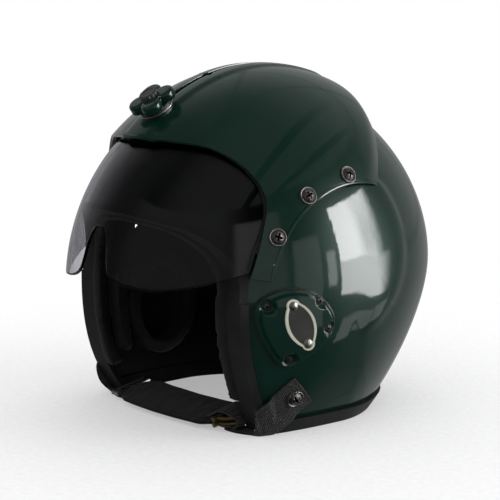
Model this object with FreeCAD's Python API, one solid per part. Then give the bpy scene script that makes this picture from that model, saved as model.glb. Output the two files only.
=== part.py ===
import FreeCAD, Part
import math
import os
from FreeCAD import Vector

# Pilot helmet with one sliding visor, in millimetres.
# The face looks along -Y, the crown is up, and +X is the wearer's left side.
# The model is drawn round the visor's pivot line, which runs along X through the
# origin, and is moved at the end so that it stands on the plane z = 0.
# Angles called "raise" are measured at the pivot line, from straight ahead towards the crown.

# Outer shell
shell_half_width = 113.5
shell_front = 142.0
shell_rear = 133.3
shell_rear_height = 18.4
shell_depth = 140.0
shell_wall = 3.0
pivot_height = 89.6
crown_share = math.sqrt(0.5)
rear_top_share = 0.641
rear_low_share = 0.386
front_low_share = 1.6

# Face opening and neck edge, side view
face_arc_radius = 150.0
face_arc_back = 60.5
face_arc_height = -6.0
face_bend = 38.0
brow_height = 53.0
brow_depth = -112.0
brow_slope = 24.0
neck_lift = 2.6
neck_rise_start = 60.0
neck_rise_radius = 700.0
neck_rise_turn = 12.0

# Rubber edge trims
trim_wall = 2.4
face_trim_width = 2.4
face_trim_depth = 10.0
neck_trim_width = 9.6
trim_gap = 0.3
roll_wall = 7.0
roll_front = 3.6
roll_back = 8.0
roll_floor = -66.0

# Visor lens
lens_gap = 2.8
lens_side_gap = 0.3
lens_wall = 2.2
lens_side_radius = 90.0
lens_top_offset = 37.5
visor_travel = 50.0
notch_height = 50.5
notch_tip = 4.5
notch_half_width = 8.8
notch_flare = 17.5
notch_foot = 29.0
lobe_half_width = 48.0
lobe_height = 11.0
lobe_rise = 7.5
flank_rise = 2.5
notch_foot_rise = 1.5
notch_waist_height = 29.8
lens_corner_half_width = 90.0
lens_corner_height = 22.5

# Visor housing
housing_gap = 3.7
housing_wall = 2.5
housing_rim = 3.0
arch_radius = 77.0
rear_lean = 53.2
rear_offset = 24.0
margin_width = 12.0
margin_drop = 6.0
lip_height = 107.5
lip_points = [(-104.0, 107.0), (-88.0, 102.5), (-75.0, 89.0), (-70.3, 71.0), (-77.0, 50.0)]
tab_front = (-88.5, 20.5)
tab_raise = 13.5
tab_corner = 4.0
housing_corner = 3.0
ridge_half_width = 13.0
ridge_height = 1.2
ridge_root = 3.2
ridge_end_raise = 4.8
slot_width = 5.0
slot_margin_raise = 1.6
notch_raise = 72.6
notch_radius = 2.2
seal_depth = 7.0
seal_wall = 2.2
fit_gap = 0.3

# Visor tracks and carrier
side_track_inner = 88.1
side_track_outer = 89.4
side_track_low = 24.0
side_track_high = 99.0
centre_track_half_width = 9.0
centre_track_wall = 1.6
centre_track_low = 50.0
centre_track_high = 109.0
carrier_half_width = 15.0
carrier_wall = 1.3
carrier_low = 49.8
carrier_high = 60.2
rivet_radius = 1.5
rivet_head_radius = 2.3
rivet_head_wall = 0.8
rivet_offset = 12.0
rivet_raise_offset = 3.0

# Knob on the visor's stud
knob_raise = 54.5
stud_radius = 2.0
stud_clearance = 0.05
stud_length = 16.0
washer_radius = 12.4
washer_wall = 1.0
disc_radius = 11.8
disc_wall = 2.6
star_core_radius = 8.6
star_lobe_radius = 6.2
star_pitch_radius = 10.4
star_height = 7.0
star_edge = 1.3
star_lobes = 4
star_turn = 45.0
cap_radius = 6.8
cap_height = 3.2
cap_teeth = 12
cap_tooth = 1.0

# Fasteners
housing_screw_raises = [34.0, 59.5, 86.0]
housing_screw_radius = 83.0
boss_radius = 4.7
screw_shank_radius = 2.0
screw_head_radius = 4.7
screw_head_height = 2.4
screw_washer_radius = 6.0
screw_washer_wall = 1.3
screw_washer_rim = 0.9
shank_clearance = 0.05

# Ear covers
cover_centre = (-56.0, -13.5)
cover_half_length = 27.5
cover_half_height = 26.5
cover_flange = 2.4
cover_plateau = 6.2
cover_inset_share = 0.84
cover_outline_shares = [
    (-0.86, 0.72),
    (-0.25, 0.97),
    (0.42, 0.84),
    (0.94, 0.30),
    (0.90, -0.28),
    (0.35, -0.78),
    (-0.22, -1.00),
    (-0.62, -0.68),
    (-0.97, 0.18),
]
cover_pocket_radius = 4.6
cover_pocket_shares = [(-0.70, 0.56), (0.56, 0.62), (0.80, -0.10), (-0.17, -0.80)]
cover_screw_radius = 2.6
cover_screw_height = 1.5
cover_shank_radius = 1.4

# Badge on the left ear cover
badge_centre = (-57.8, -11.2)
badge_half_length = 18.5
badge_half_width = 9.6
badge_tip_radius = 4.2
badge_lean = 22.0
badge_wall = 1.2
badge_rim = 1.7
badge_field_drop = 0.5
badge_rivet_offset = 14.0
badge_rivet_radius = 3.2
badge_rivet_height = 1.1

# Chin strap
strap_width = 26.0
strap_wall = 1.9
strap_screw = (-52.6, -62.6)
strap_lean = 44.0
strap_end_margin = 8.0
strap_reach = 52.0
strap_floor_gap = 0.3
foot_outer = 85.5
foot_fold = 68.5
foot_inner = 54.5
foot_front = -80.5
foot_back = -62.5
strap_half_length = 55.5
strap_end_depth = -88.0
strap_bow = 4.0
strap_end_lift = 4.6
strap_middle_lift = 4.2
strap_tilt = 11.0
sleeve_half_length = 50.5
sleeve_shift = 0.0
sleeve_width = 36.0
sleeve_wall = 4.8
sleeve_crown = 1.3
ring_wire = 1.5
ring_bar_share = 1.2
ring_arc_radius = 13.0
slider_width = 30.0
slider_length = 8.0
slider_wall = 2.6
slider_bar = 1.6

# Inside
liner_wall = 16.0
liner_floor = -34.0
pad_wall = 9.0
crown_pad_floor = 96.0
brow_pad_back = -82.0
brow_pad_floor = 74.0
brow_pad_top = 93.0
nape_pad_wall = 17.0
nape_pad_floor = -74.0
nape_pad_top = -36.0
nape_pad_front = 58.0
nape_pad_half_width = 52.0
cup_centre = (-33.0, -24.0)
cup_half_length = 31.0
cup_half_height = 38.0
cup_face = 79.0
cup_wall = 2.5
seal_face = 67.0
seal_ring_wall = 9.0
cheek_pad_wall = 9.0
cheek_pad_back = -65.0
cheek_pad_floor = -54.0
cheek_pad_top = 4.0

# Derived sizes
reach = 2 * shell_half_width
lens_inner_radius = shell_front + lens_gap
lens_inner_width = shell_half_width + lens_side_gap
lens_radius = lens_inner_radius + lens_wall
lens_width = lens_inner_width + lens_wall
housing_inner_radius = lens_radius + housing_gap
housing_inner_width = lens_width
housing_radius = housing_inner_radius + housing_wall
housing_width = housing_inner_width + housing_wall
ridge_radius = housing_radius + ridge_height
slot_low = knob_raise - slot_margin_raise
slot_high = knob_raise + visor_travel + slot_margin_raise
neck_floor = -pivot_height + neck_lift
screw_bore = screw_shank_radius + shank_clearance
cover_bore = cover_shank_radius + shank_clearance


def arm(raise_angle, radius, x=0.0):
    """Point at a radius from the pivot line, at an angle raised from straight ahead."""
    turn = math.radians(raise_angle)
    return Vector(x, -radius * math.cos(turn), radius * math.sin(turn))


def conic_form(half_width, quadrants):
    """Closed round body whose slices along X are scaled copies of one side profile."""
    round_arc = [(-1, 0, 1), (-1, 1, crown_share), (0, 1, 1), (1, 1, crown_share), (1, 0, 1)]
    faces = []
    for start, corner, share, end in quadrants:
        profile = [start + (1,), corner + (share,), end + (1,)]
        poles = [
            [Vector(half_width * u, v * y, v * z) for y, z, w in profile] for u, v, weight in round_arc
        ]
        weights = [[weight * w for y, z, w in profile] for u, v, weight in round_arc]
        surface = Part.BSplineSurface()
        surface.buildFromPolesMultsKnots(
            poles, [3, 2, 3], [3, 3], [0, 1, 2], [0, 1], False, False, 2, 2, weights
        )
        faces.append(surface.toShape())
    body = Part.makeCompound(faces)
    body.sewShape()
    return Part.Solid(body.Shells[0])


def helmet_form(inset):
    """The helmet's outer form, drawn in all round by an inset."""
    front = inset - shell_front
    top = shell_front - inset
    rear = shell_rear - inset
    low = inset - shell_depth
    return conic_form(
        shell_half_width - inset,
        [
            ((front, 0), (front, top), crown_share, (0, top)),
            ((0, top), (rear, top), rear_top_share, (rear, shell_rear_height)),
            ((rear, shell_rear_height), (rear, low), rear_low_share, (0, low)),
            ((0, low), (front, low), front_low_share, (front, 0)),
        ],
    )


def ball_form(half_width, radius, y=0.0, z=0.0):
    """Round form about a line along X, which keeps its shape as it turns about that line."""
    front, back, low, top = y - radius, y + radius, z - radius, z + radius
    form = conic_form(
        half_width,
        [
            ((-radius, 0), (-radius, radius), crown_share, (0, radius)),
            ((0, radius), (radius, radius), crown_share, (radius, 0)),
            ((radius, 0), (radius, -radius), crown_share, (0, -radius)),
            ((0, -radius), (-radius, -radius), crown_share, (-radius, 0)),
        ],
    )
    form.translate(Vector(0, y, z))
    return form


def drum(radius, y=0.0, z=0.0):
    """Cylinder along X through the whole width."""
    return Part.makeCylinder(radius, 2 * reach, Vector(-reach, y, z), Vector(1, 0, 0))


def block(low, high):
    """Box between two corners."""
    size = high - low
    return Part.makeBox(size.x, size.y, size.z, low)


def side(y, z):
    return Vector(-reach, y, z)


def side_prism(edges):
    """Solid through the whole width, from edges drawn in the side view."""
    return Part.Face(Part.Wire(Part.sortEdges(edges)[0])).extrude(Vector(2 * reach, 0, 0))


def side_polygon(points):
    corners = [side(y, z) for y, z in points]
    return Part.Face(Part.makePolygon(corners + corners[:1])).extrude(Vector(2 * reach, 0, 0))


def spline(points):
    curve = Part.BSplineCurve()
    curve.interpolate(points)
    return curve.toShape()


def line(start, end):
    return Part.LineSegment(start, end).toShape()


def arc(start, middle, end):
    return Part.Arc(start, middle, end).toShape()


def round_side_corners(solid, places, radius):
    """Fillets of the edges along X that pass nearest to the given side-view places."""
    chosen = []
    for y, z in places:
        along = [e for e in solid.Edges if abs(abs(e.Vertexes[0].X - e.Vertexes[-1].X) - 2 * reach) < fit_gap]
        chosen.append(min(along, key=lambda e: math.hypot(e.Vertexes[0].Y - y, e.Vertexes[0].Z - z)))
    return solid.makeFillet(radius, chosen)


def ring_sector(points, low, high):
    """Ring about the pivot line from x, radius points, between two raise angles."""
    corners = [arm(low, radius, x) for x, radius in points]
    face = Part.Face(Part.makePolygon(corners + corners[:1]))
    return face.revolve(Vector(0, 0, 0), Vector(-1, 0, 0), high - low)


def half_plane(normal_raise, offset):
    """Everything beyond a plane along X, given by its normal's raise angle and distance."""
    normal = arm(normal_raise, 1)
    along = Vector(0, -normal.z, normal.y)
    foot = normal * offset
    far = normal * (2 * reach)
    points = [foot - along * 2 * reach, foot + along * 2 * reach]
    points += [points[1] + far, points[0] + far]
    return side_polygon([(p.y, p.z) for p in points])


# Side-view regions

def face_region(grow):
    """Region of the face opening. A positive grow moves its edge back over the shell."""
    radius = face_arc_radius - grow
    slope = math.radians(brow_slope)
    up = Vector(0, -math.cos(slope), math.sin(slope))
    normal = Vector(0, math.sin(slope), math.cos(slope))
    brow = Vector(-reach, brow_depth, brow_height) + normal * grow
    # The brow line meets the arc where its distance to the arc's centre is the radius.
    centre = side(face_arc_back, face_arc_height)
    step = brow - centre
    along = step.dot(up)
    meet = brow + up * (-along + math.sqrt(along ** 2 - step.dot(step) + radius ** 2))
    low_z = -pivot_height - 2 * neck_trim_width
    foot = side(face_arc_back - math.sqrt(radius ** 2 - (low_z - face_arc_height) ** 2), low_z)
    middle = centre + Vector(0, -radius, 0)
    far = brow + up * 2 * reach
    corner = side(far.y, low_z)
    region = side_prism([
        arc(foot, middle, meet), line(meet, far), line(far, corner), line(corner, foot)
    ])
    return round_side_corners(region, [(meet.y, meet.z)], face_bend - grow)


def neck_region(grow):
    """Region under the neck edge. A positive grow moves its edge up over the shell."""
    z = neck_floor + grow
    radius = neck_rise_radius - grow
    start = side(neck_rise_start, z)
    turn = math.radians(neck_rise_turn)
    middle = side(neck_rise_start + radius * math.sin(turn / 2), z + radius * (1 - math.cos(turn / 2)))
    end = side(neck_rise_start + radius * math.sin(turn), z + radius * (1 - math.cos(turn)))
    low = -2 * pivot_height
    front = side(-reach, z)
    return side_prism([
        line(front, start), arc(start, middle, end), line(end, side(end.y, low)),
        line(side(end.y, low), side(-reach, low)), line(side(-reach, low), front),
    ])


def margin_ball(wall):
    """Form that draws the housing in towards the shell over its rear margin."""
    low_radius = housing_radius - margin_drop
    shift = (housing_radius ** 2 - low_radius ** 2) / (2 * margin_width)
    radius = math.sqrt(low_radius ** 2 - 2 * shift * rear_offset + shift ** 2) - wall
    centre = arm(90 - rear_lean, shift)
    return ball_form(housing_width * radius / housing_radius, radius, centre.y, centre.z)


def housing_space(gap):
    """Space under the housing's wall, less a gap."""
    outer = ball_form(housing_inner_width - gap, housing_inner_radius - gap)
    return outer.common(margin_ball(housing_wall + gap))


def housing_region(shift_y=0.0, shift_z=0.0):
    """The housing's side view: lip, tab, arch and rear edge."""
    lean = math.radians(rear_lean)
    normal = Vector(0, -math.sin(lean), math.cos(lean))
    along = Vector(0, math.cos(lean), math.sin(lean))
    run = math.sqrt(arch_radius ** 2 - rear_offset ** 2)
    rear_low = side(0, 0) + normal * rear_offset + along * run
    rear_top = side(0, 0) + normal * rear_offset + along * reach
    tab_rear = arm(tab_raise, arch_radius, -reach)
    rear_raise = math.degrees(math.atan2(rear_low.z, -rear_low.y))
    arch_middle = arm((tab_raise + rear_raise) / 2, arch_radius, -reach)
    lip = [side(y, z) for y, z in lip_points] + [side(*tab_front)]
    front = side(-reach, lip_height)
    edges = [line(front, lip[0]), spline(lip), line(lip[-1], tab_rear)]
    edges += [arc(tab_rear, arch_middle, rear_low), line(rear_low, rear_top)]
    edges += [line(rear_top, side(-reach, rear_top.z)), line(side(-reach, rear_top.z), front)]
    region = side_prism(edges)
    region = round_side_corners(region, [tab_front, (tab_rear.y, tab_rear.z)], tab_corner)
    region = round_side_corners(region, [(rear_low.y, rear_low.z)], housing_corner)
    region.translate(Vector(0, shift_y, shift_z))
    return region


# Places on the curved forms

def on_form(half_width, radius, raise_angle, arm_radius, sign):
    """Point and outward normal on a ball form, at a distance from the pivot line."""
    point = arm(raise_angle, arm_radius)
    point.x = sign * half_width * math.sqrt(1 - (arm_radius / radius) ** 2)
    normal = Vector(point.x / half_width ** 2, point.y / radius ** 2, point.z / radius ** 2)
    return point, normal.normalize()


def on_helmet(y, z, inset, sign):
    """Point and outward normal where a line along X leaves the helmet's form."""
    form = helmet_form(inset)
    probe = line(Vector(0, y, z), Vector(sign * reach, y, z))
    point = probe.section(form.Shells[0]).Vertexes[0].Point
    face = min(form.Faces, key=lambda f: f.distToShape(Part.Vertex(point))[0])
    normal = face.normalAt(*face.Surface.parameter(point))
    if normal.x * sign < 0:
        normal = normal * -1
    return point, normal


def rod(point, direction, start, end, radius):
    """Cylinder along a direction, between two distances from a point."""
    return Part.makeCylinder(radius, end - start, point + direction * start, direction)


def turned(point, direction, edges):
    """Round solid about a direction, from edges drawn with radius along X and length along Z."""
    solid = Part.Face(Part.Wire(edges)).revolve(Vector(0, 0, 0), Vector(0, 0, 1), 360)
    solid.Placement = FreeCAD.Placement(point, FreeCAD.Rotation(Vector(0, 0, 1), direction))
    return solid


def dome_screw(point, direction, start, seat, shank_radius, head_radius, height):
    """Round-headed screw from the end of its shank to the top of its domed head."""
    ball_radius = (head_radius ** 2 + height ** 2) / (2 * height)
    half = math.asin(head_radius / ball_radius) / 2
    side_x = ball_radius * math.sin(half)
    side_z = seat + height - ball_radius + ball_radius * math.cos(half)
    corners = [Vector(0, 0, start), Vector(shank_radius, 0, start), Vector(shank_radius, 0, seat)]
    corners += [Vector(head_radius, 0, seat), Vector(0, 0, seat + height)]
    edges = [line(corners[0], corners[1]), line(corners[1], corners[2]), line(corners[2], corners[3])]
    edges += [arc(corners[3], Vector(side_x, 0, side_z), corners[4]), line(corners[4], corners[0])]
    return turned(point, direction, edges)


def both_sides(make):
    """One compound of what a function makes on the left and on the right."""
    return Part.makeCompound(make(1) + make(-1))


def housing_screw_places(sign):
    return [
        on_form(housing_width, housing_radius, turn, housing_screw_radius, sign)
        for turn in housing_screw_raises
    ]


screw_seat = screw_washer_wall
screw_depth = housing_width - shell_half_width + shell_wall + housing_wall / 2


# Shell group

def outer_shell():
    shell = helmet_form(0).cut(helmet_form(shell_wall))
    shell = shell.cut(face_region(0)).cut(neck_region(0))
    for sign in (1, -1):
        for point, normal in housing_screw_places(sign):
            shell = shell.cut(rod(point, normal, -2 * screw_depth, 0, screw_bore))
        point, normal = on_helmet(*strap_screw, 0, sign)
        shell = shell.cut(rod(point, normal, -2 * shell_wall, shell_wall, screw_bore))
        for point, normal in cover_screw_places(sign):
            hole = rod(point, normal, -2 * shell_wall, shell_wall, cover_bore)
            shell = shell.cut(hole)
    return shell


def edge_shell():
    return helmet_form(0).cut(helmet_form(shell_wall)).cut(face_region(0)).cut(neck_region(0))


def face_trim():
    """Rubber channel over the face edge, thin where the lens passes over it."""
    band = helmet_form(-trim_wall).cut(helmet_form(face_trim_depth))
    band = band.common(face_region(face_trim_width)).cut(face_region(-trim_wall))
    floor = -pivot_height + neck_lift
    band = band.cut(block(Vector(-reach, -reach, -reach), Vector(reach, reach, floor)))
    lens_way = helmet_form(-2 * trim_wall).cut(
        ball_form(lens_inner_width - trim_gap, lens_inner_radius - trim_gap)
    )
    lens_low = lobe_height - lobe_rise
    lens_way = lens_way.common(block(Vector(-reach, -reach, lens_low), Vector(reach, reach, reach)))
    return band.cut(edge_shell()).cut(lens_way)


def edge_roll():
    """Soft roll inside the face trim."""
    inner = face_trim_depth + trim_gap
    band = helmet_form(inner).cut(helmet_form(inner + roll_wall))
    band = band.common(face_region(roll_back)).cut(face_region(-roll_front))
    return band.common(block(Vector(-reach, -reach, roll_floor), Vector(reach, reach, reach)))


def neck_trim():
    band = helmet_form(-trim_wall).cut(helmet_form(shell_wall + trim_wall))
    band = band.common(neck_region(neck_trim_width - neck_lift)).cut(neck_region(-neck_lift))
    return band.cut(face_region(face_trim_width + trim_gap)).cut(edge_shell())


# Visor housing group

def visor_housing():
    outer = ball_form(housing_width, housing_radius).common(margin_ball(0))
    root = housing_radius - ridge_root
    ridge_edge = housing_radius * math.sqrt(1 - (ridge_half_width / housing_width) ** 2)
    start = arm(0, root, -ridge_half_width)
    left_edge = arm(0, ridge_edge, -ridge_half_width)
    right_edge = arm(0, ridge_edge, ridge_half_width)
    ridge_face = Part.Face(Part.Wire([
        line(start, left_edge),
        arc(left_edge, arm(0, ridge_radius), right_edge),
        line(right_edge, arm(0, root, ridge_half_width)),
        line(arm(0, root, ridge_half_width), start),
    ]))
    ridge = ridge_face.revolve(Vector(0, 0, 0), Vector(-1, 0, 0), slot_high + ridge_end_raise)
    ridge = ridge.common(margin_ball(-ridge_height))
    space = housing_space(0)
    space = space.cut(drum(arch_radius + housing_rim))
    floor = block(Vector(-reach, -reach, -reach), Vector(reach, 0, tab_front[1] + housing_wall))
    space = space.cut(floor.common(drum(side_track_outer)))
    body = outer.fuse(ridge).cut(space)
    for sign in (1, -1):
        for point, normal in housing_screw_places(sign):
            body = body.fuse(rod(point, normal, -screw_depth, -housing_wall / 2, boss_radius))
    body = body.common(housing_region()).cut(helmet_form(-fit_gap))
    body = body.cut(helmet_form(-trim_wall - fit_gap).common(face_region(face_trim_width + fit_gap)))
    slot = ring_sector(slot_profile(slot_width), slot_low, slot_high)
    body = body.cut(slot)
    for turn in (slot_low, slot_high):
        body = body.cut(rod(Vector(), arm(turn, 1), shell_front, 2 * shell_front, slot_width / 2))
    notch_foot_place = Vector(slot_width / 2, 0, 0)
    body = body.cut(rod(notch_foot_place, arm(notch_raise, 1), shell_front, 2 * shell_front, notch_radius))
    for sign in (1, -1):
        for point, normal in housing_screw_places(sign):
            body = body.cut(rod(point, normal, -2 * screw_depth, housing_wall, screw_bore))
            body = body.cut(rod(point, normal, 0, 2 * housing_wall, screw_washer_radius))
    return body


def slot_profile(width):
    return [
        (-width / 2, shell_front + lens_gap),
        (width / 2, shell_front + lens_gap),
        (width / 2, ridge_radius + housing_wall),
        (-width / 2, ridge_radius + housing_wall),
    ]


def visor_seal():
    inner = ball_form(lens_width + fit_gap, housing_inner_radius - seal_wall)
    band = housing_space(fit_gap / 2).cut(inner).common(housing_region())
    band = band.cut(housing_region(seal_depth, seal_depth))
    keep = block(Vector(-reach, -reach, tab_front[1] + 2 * housing_corner), Vector(reach, 0, reach))
    band = band.common(keep).cut(drum(lens_side_radius))
    front = block(Vector(-reach, -reach, -reach), Vector(reach, -shell_half_width / 2, reach))
    return band.common(front).cut(ring_sector(slot_profile(2 * carrier_half_width), carrier_low, slot_high))


def side_track(sign):
    ring = drum(side_track_outer).cut(drum(side_track_inner))
    wedge = half_plane(side_track_low + 90, 0).common(half_plane(side_track_high - 90, 0))
    half = block(Vector(0, -reach, -reach), Vector(sign * reach, reach, reach)) if sign > 0 else block(
        Vector(-reach, -reach, -reach), Vector(0, reach, reach)
    )
    return ring.common(wedge).common(housing_space(fit_gap)).cut(helmet_form(-fit_gap)).common(half)


def centre_track():
    top = housing_inner_radius - fit_gap
    points = [
        (-centre_track_half_width, top - centre_track_wall),
        (centre_track_half_width, top - centre_track_wall),
        (centre_track_half_width, top - fit_gap),
        (-centre_track_half_width, top - fit_gap),
    ]
    rail = ring_sector(points, centre_track_low, centre_track_high)
    rail = rail.cut(ring_sector(slot_profile(slot_width), slot_low, slot_high))
    for turn in (slot_low, slot_high):
        rail = rail.cut(rod(Vector(), arm(turn, 1), shell_front, 2 * shell_front, slot_width / 2))
    return rail


def washer(point, normal):
    """Cup washer: a plate with a raised rim, bored for its screw."""
    bore = screw_bore
    dish = screw_washer_radius - screw_washer_rim
    profile = [(bore, 0), (screw_washer_radius, 0), (screw_washer_radius, screw_washer_wall)]
    profile += [(dish, screw_washer_wall), (dish, screw_washer_wall / 2), (bore, screw_washer_wall / 2)]
    corners = [Vector(radius, 0, height) for radius, height in profile]
    return turned(point, normal, Part.makePolygon(corners + corners[:1]).Edges)


def screw(point, normal, depth):
    """Dome-headed screw that sits in a cup washer and runs a depth below it."""
    seat = screw_washer_wall / 2
    return dome_screw(
        point, normal, -depth, seat, screw_shank_radius, screw_head_radius, screw_head_height
    )


def housing_washers(sign):
    return [washer(point, normal) for point, normal in housing_screw_places(sign)]


def housing_screws(sign):
    return [screw(point, normal, screw_depth) for point, normal in housing_screw_places(sign)]


# Ear cover group

def cover_outline(scale, sign):
    """Rounded ear-cover outline as a prism along X, on one side of the helmet."""
    y, z = cover_centre
    points = [
        side(y + scale * cover_half_length * u, z + scale * cover_half_height * v)
        for u, v in cover_outline_shares
    ]
    curve = Part.BSplineCurve()
    curve.interpolate(points, PeriodicFlag=True)
    prism = Part.Face(Part.Wire(curve.toShape())).extrude(Vector(reach, 0, 0))
    if sign > 0:
        prism.translate(Vector(reach, 0, 0))
    return prism


def cover_screw_places(sign):
    y, z = cover_centre
    return [
        on_helmet(y + cover_half_length * u, z + cover_half_height * v, 0, sign)
        for u, v in cover_pocket_shares
    ]


def ear_cover(sign):
    flange = helmet_form(-cover_flange).common(cover_outline(1, sign))
    plateau = helmet_form(-cover_plateau).common(cover_outline(cover_inset_share, sign))
    cover = flange.fuse(plateau)
    for point, normal in cover_screw_places(sign):
        cover = cover.cut(rod(point, normal, cover_flange, 2 * cover_plateau, cover_pocket_radius))
        cover = cover.cut(rod(point, normal, -cover_plateau, cover_plateau, cover_bore))
    return cover.cut(helmet_form(0))


def ear_cover_screws(sign):
    return Part.makeCompound([
        dome_screw(
            point, normal, -shell_wall, cover_flange,
            cover_shank_radius, cover_screw_radius, cover_screw_height,
        )
        for point, normal in cover_screw_places(sign)
    ])


def badge_outline(grow):
    """Eye-shaped badge outline as a prism on the left side."""
    half_length = badge_half_length + grow
    half_width = badge_half_width + grow
    tip = badge_tip_radius + grow
    y, z = badge_centre
    # Each flank is an arc through the widest point and past the two tip circles.
    flank_end = half_length - tip
    left = Part.Arc(side(-tip, flank_end), side(-half_width, 0), side(-tip, -flank_end)).toShape()
    right = Part.Arc(side(tip, -flank_end), side(half_width, 0), side(tip, flank_end)).toShape()
    top = Part.Arc(side(tip, flank_end), side(0, half_length), side(-tip, flank_end)).toShape()
    low = Part.Arc(side(-tip, -flank_end), side(0, -half_length), side(tip, -flank_end)).toShape()
    prism = Part.Face(Part.Wire([left, low, right, top])).extrude(Vector(reach, 0, 0))
    prism.rotate(Vector(0, 0, 0), Vector(1, 0, 0), badge_lean)
    prism.translate(Vector(reach, y, z))
    return prism


def badge_rivet_places():
    turn = math.radians(badge_lean)
    places = []
    for sign in (1, -1):
        y = badge_centre[0] - sign * badge_rivet_offset * math.sin(turn)
        z = badge_centre[1] + sign * badge_rivet_offset * math.cos(turn)
        places.append(on_helmet(y, z, -cover_plateau, 1))
    return places


def badge_plate():
    plate = helmet_form(-cover_plateau - badge_wall).common(badge_outline(0)).cut(helmet_form(-cover_plateau))
    field = helmet_form(-cover_plateau - 2 * badge_wall).cut(helmet_form(-cover_plateau - badge_field_drop))
    return plate.cut(field.common(badge_outline(-badge_rim)))


def badge_field():
    gap = fit_gap / 2
    inlay = helmet_form(badge_field_drop / 2 - cover_plateau - badge_wall)
    inlay = inlay.cut(helmet_form(-cover_plateau - badge_field_drop)).common(badge_outline(-badge_rim - gap))
    for point, normal in badge_rivet_places():
        inlay = inlay.cut(rod(point, normal, -badge_wall, 2 * badge_wall, badge_rivet_radius + gap))
    return inlay


def badge_rivets():
    field_top = helmet_form(-cover_plateau - badge_field_drop)
    return Part.makeCompound([
        dome_screw(
            point, normal, badge_field_drop, badge_wall,
            badge_rivet_radius / 2, badge_rivet_radius, badge_rivet_height,
        ).cut(field_top)
        for point, normal in badge_rivet_places()
    ])


# Visor group

def visor_lens():
    lens = ball_form(lens_width, lens_radius).cut(ball_form(lens_inner_width, lens_inner_radius))
    lens = lens.common(half_plane(90 - rear_lean - visor_travel, lens_top_offset))
    lens = lens.cut(drum(lens_side_radius))

    def front(x, z):
        return Vector(x, -reach, z)

    corner = front(lens_corner_half_width, lens_corner_height)
    outer = front(reach / 2, lens_corner_height + lobe_rise)
    flank = front((lens_corner_half_width + lobe_half_width) / 2, lobe_height + flank_rise)
    lobe = front(lobe_half_width, lobe_height)
    foot = front(notch_foot, lobe_height + notch_foot_rise)
    flare = front(notch_flare, lobe_height + lobe_rise)
    waist = front(notch_half_width, notch_waist_height)
    tip = front(notch_tip, notch_height - notch_tip)
    edges = []
    for sign in (1, -1):
        right = (outer, corner, flank, lobe, foot, flare, waist, tip)
        flip = [Vector(sign * p.x, p.y, p.z) for p in right]
        edges += [line(flip[0], flip[1]), arc(flip[1], flip[2], flip[3])]
        edges += [spline(flip[3:7]), line(flip[6], flip[7])]
        edges.append(line(flip[0], front(sign * reach / 2, reach)))
    edges.append(arc(tip, front(0, notch_height), front(-tip.x, tip.z)))
    edges.append(line(front(reach / 2, reach), front(-reach / 2, reach)))
    region = Part.Face(Part.Wire(Part.sortEdges(edges)[0])).extrude(Vector(0, reach, 0))
    return carrier_rivet_holes(lens.common(region))


def carrier_rivet_places():
    """Each rivet's foot on the pivot line and its direction from there."""
    return [
        (Vector(side_sign * rivet_offset, 0, 0), arm(knob_raise + turn_sign * rivet_raise_offset, 1))
        for side_sign in (1, -1)
        for turn_sign in (1, -1)
    ]


def carrier_rivet_holes(solid):
    for foot, way in carrier_rivet_places():
        hole = rod(foot, way, shell_front, housing_radius, rivet_radius + stud_clearance)
        solid = solid.cut(hole)
    return solid


def carrier_base():
    """Radius of the carrier's foot, just over the lens."""
    return lens_radius + fit_gap / 3


def visor_carrier():
    base = carrier_base()
    points = [
        (-carrier_half_width, base),
        (carrier_half_width, base),
        (carrier_half_width, base + carrier_wall),
        (-carrier_half_width, base + carrier_wall),
    ]
    plate = ring_sector(points, carrier_low, carrier_high)
    start = base + carrier_wall / 2
    stud = rod(Vector(), arm(knob_raise, 1), start, base + stud_length, stud_radius)
    return carrier_rivet_holes(plate.fuse(stud))


def carrier_rivets():
    rivets = []
    top = carrier_base() + carrier_wall
    low = lens_inner_radius * math.sqrt(1 - (rivet_offset / lens_inner_width) ** 2)
    for foot, way in carrier_rivet_places():
        shank = rod(foot, way, low, top + rivet_head_wall / 2, rivet_radius)
        rivets.append(shank.fuse(rod(foot, way, top, top + rivet_head_wall, rivet_head_radius)))
    return Part.makeCompound(rivets)


# Knob group

washer_base = ridge_radius + fit_gap
disc_base = washer_base + washer_wall
star_base = disc_base + disc_wall
star_top = star_base + star_height
bore_radius = stud_radius + stud_clearance


def knob_ring(start, end, radius):
    way = arm(knob_raise, 1)
    return rod(Vector(), way, start, end, radius).cut(rod(Vector(), way, start - end, 2 * end, bore_radius))


def knob_washer():
    return knob_ring(washer_base, disc_base, washer_radius)


def knob_disc():
    return knob_ring(disc_base, star_base, disc_radius)


def knob_star():
    """Four-lobed grip, drawn flat at the origin and then set on the stud."""
    core = Part.makeCylinder(star_core_radius, star_height)
    for count in range(star_lobes):
        turn = math.radians(star_turn + count * 360 / star_lobes)
        place = Vector(star_pitch_radius * math.cos(turn), star_pitch_radius * math.sin(turn), 0)
        core = core.fuse(Part.makeCylinder(star_lobe_radius, star_height, place))
    core = core.removeSplitter()
    flat = [e for e in core.Edges if e.BoundBox.ZLength < fit_gap]
    rims = [e for e in flat if abs(e.BoundBox.ZMin - star_height) < fit_gap]
    core = core.makeChamfer(star_edge, rims)
    bore = Part.makeCylinder(bore_radius, carrier_base() + stud_length + fit_gap - star_base)
    return set_on_stud(core.cut(bore), star_base)


def set_on_stud(shape, radius):
    """Moves a shape drawn flat at the origin so that it stands on the stud's line."""
    turn = FreeCAD.Rotation(Vector(0, 0, 1), arm(knob_raise, 1))
    shape.Placement = FreeCAD.Placement(arm(knob_raise, radius), turn)
    return shape


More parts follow.
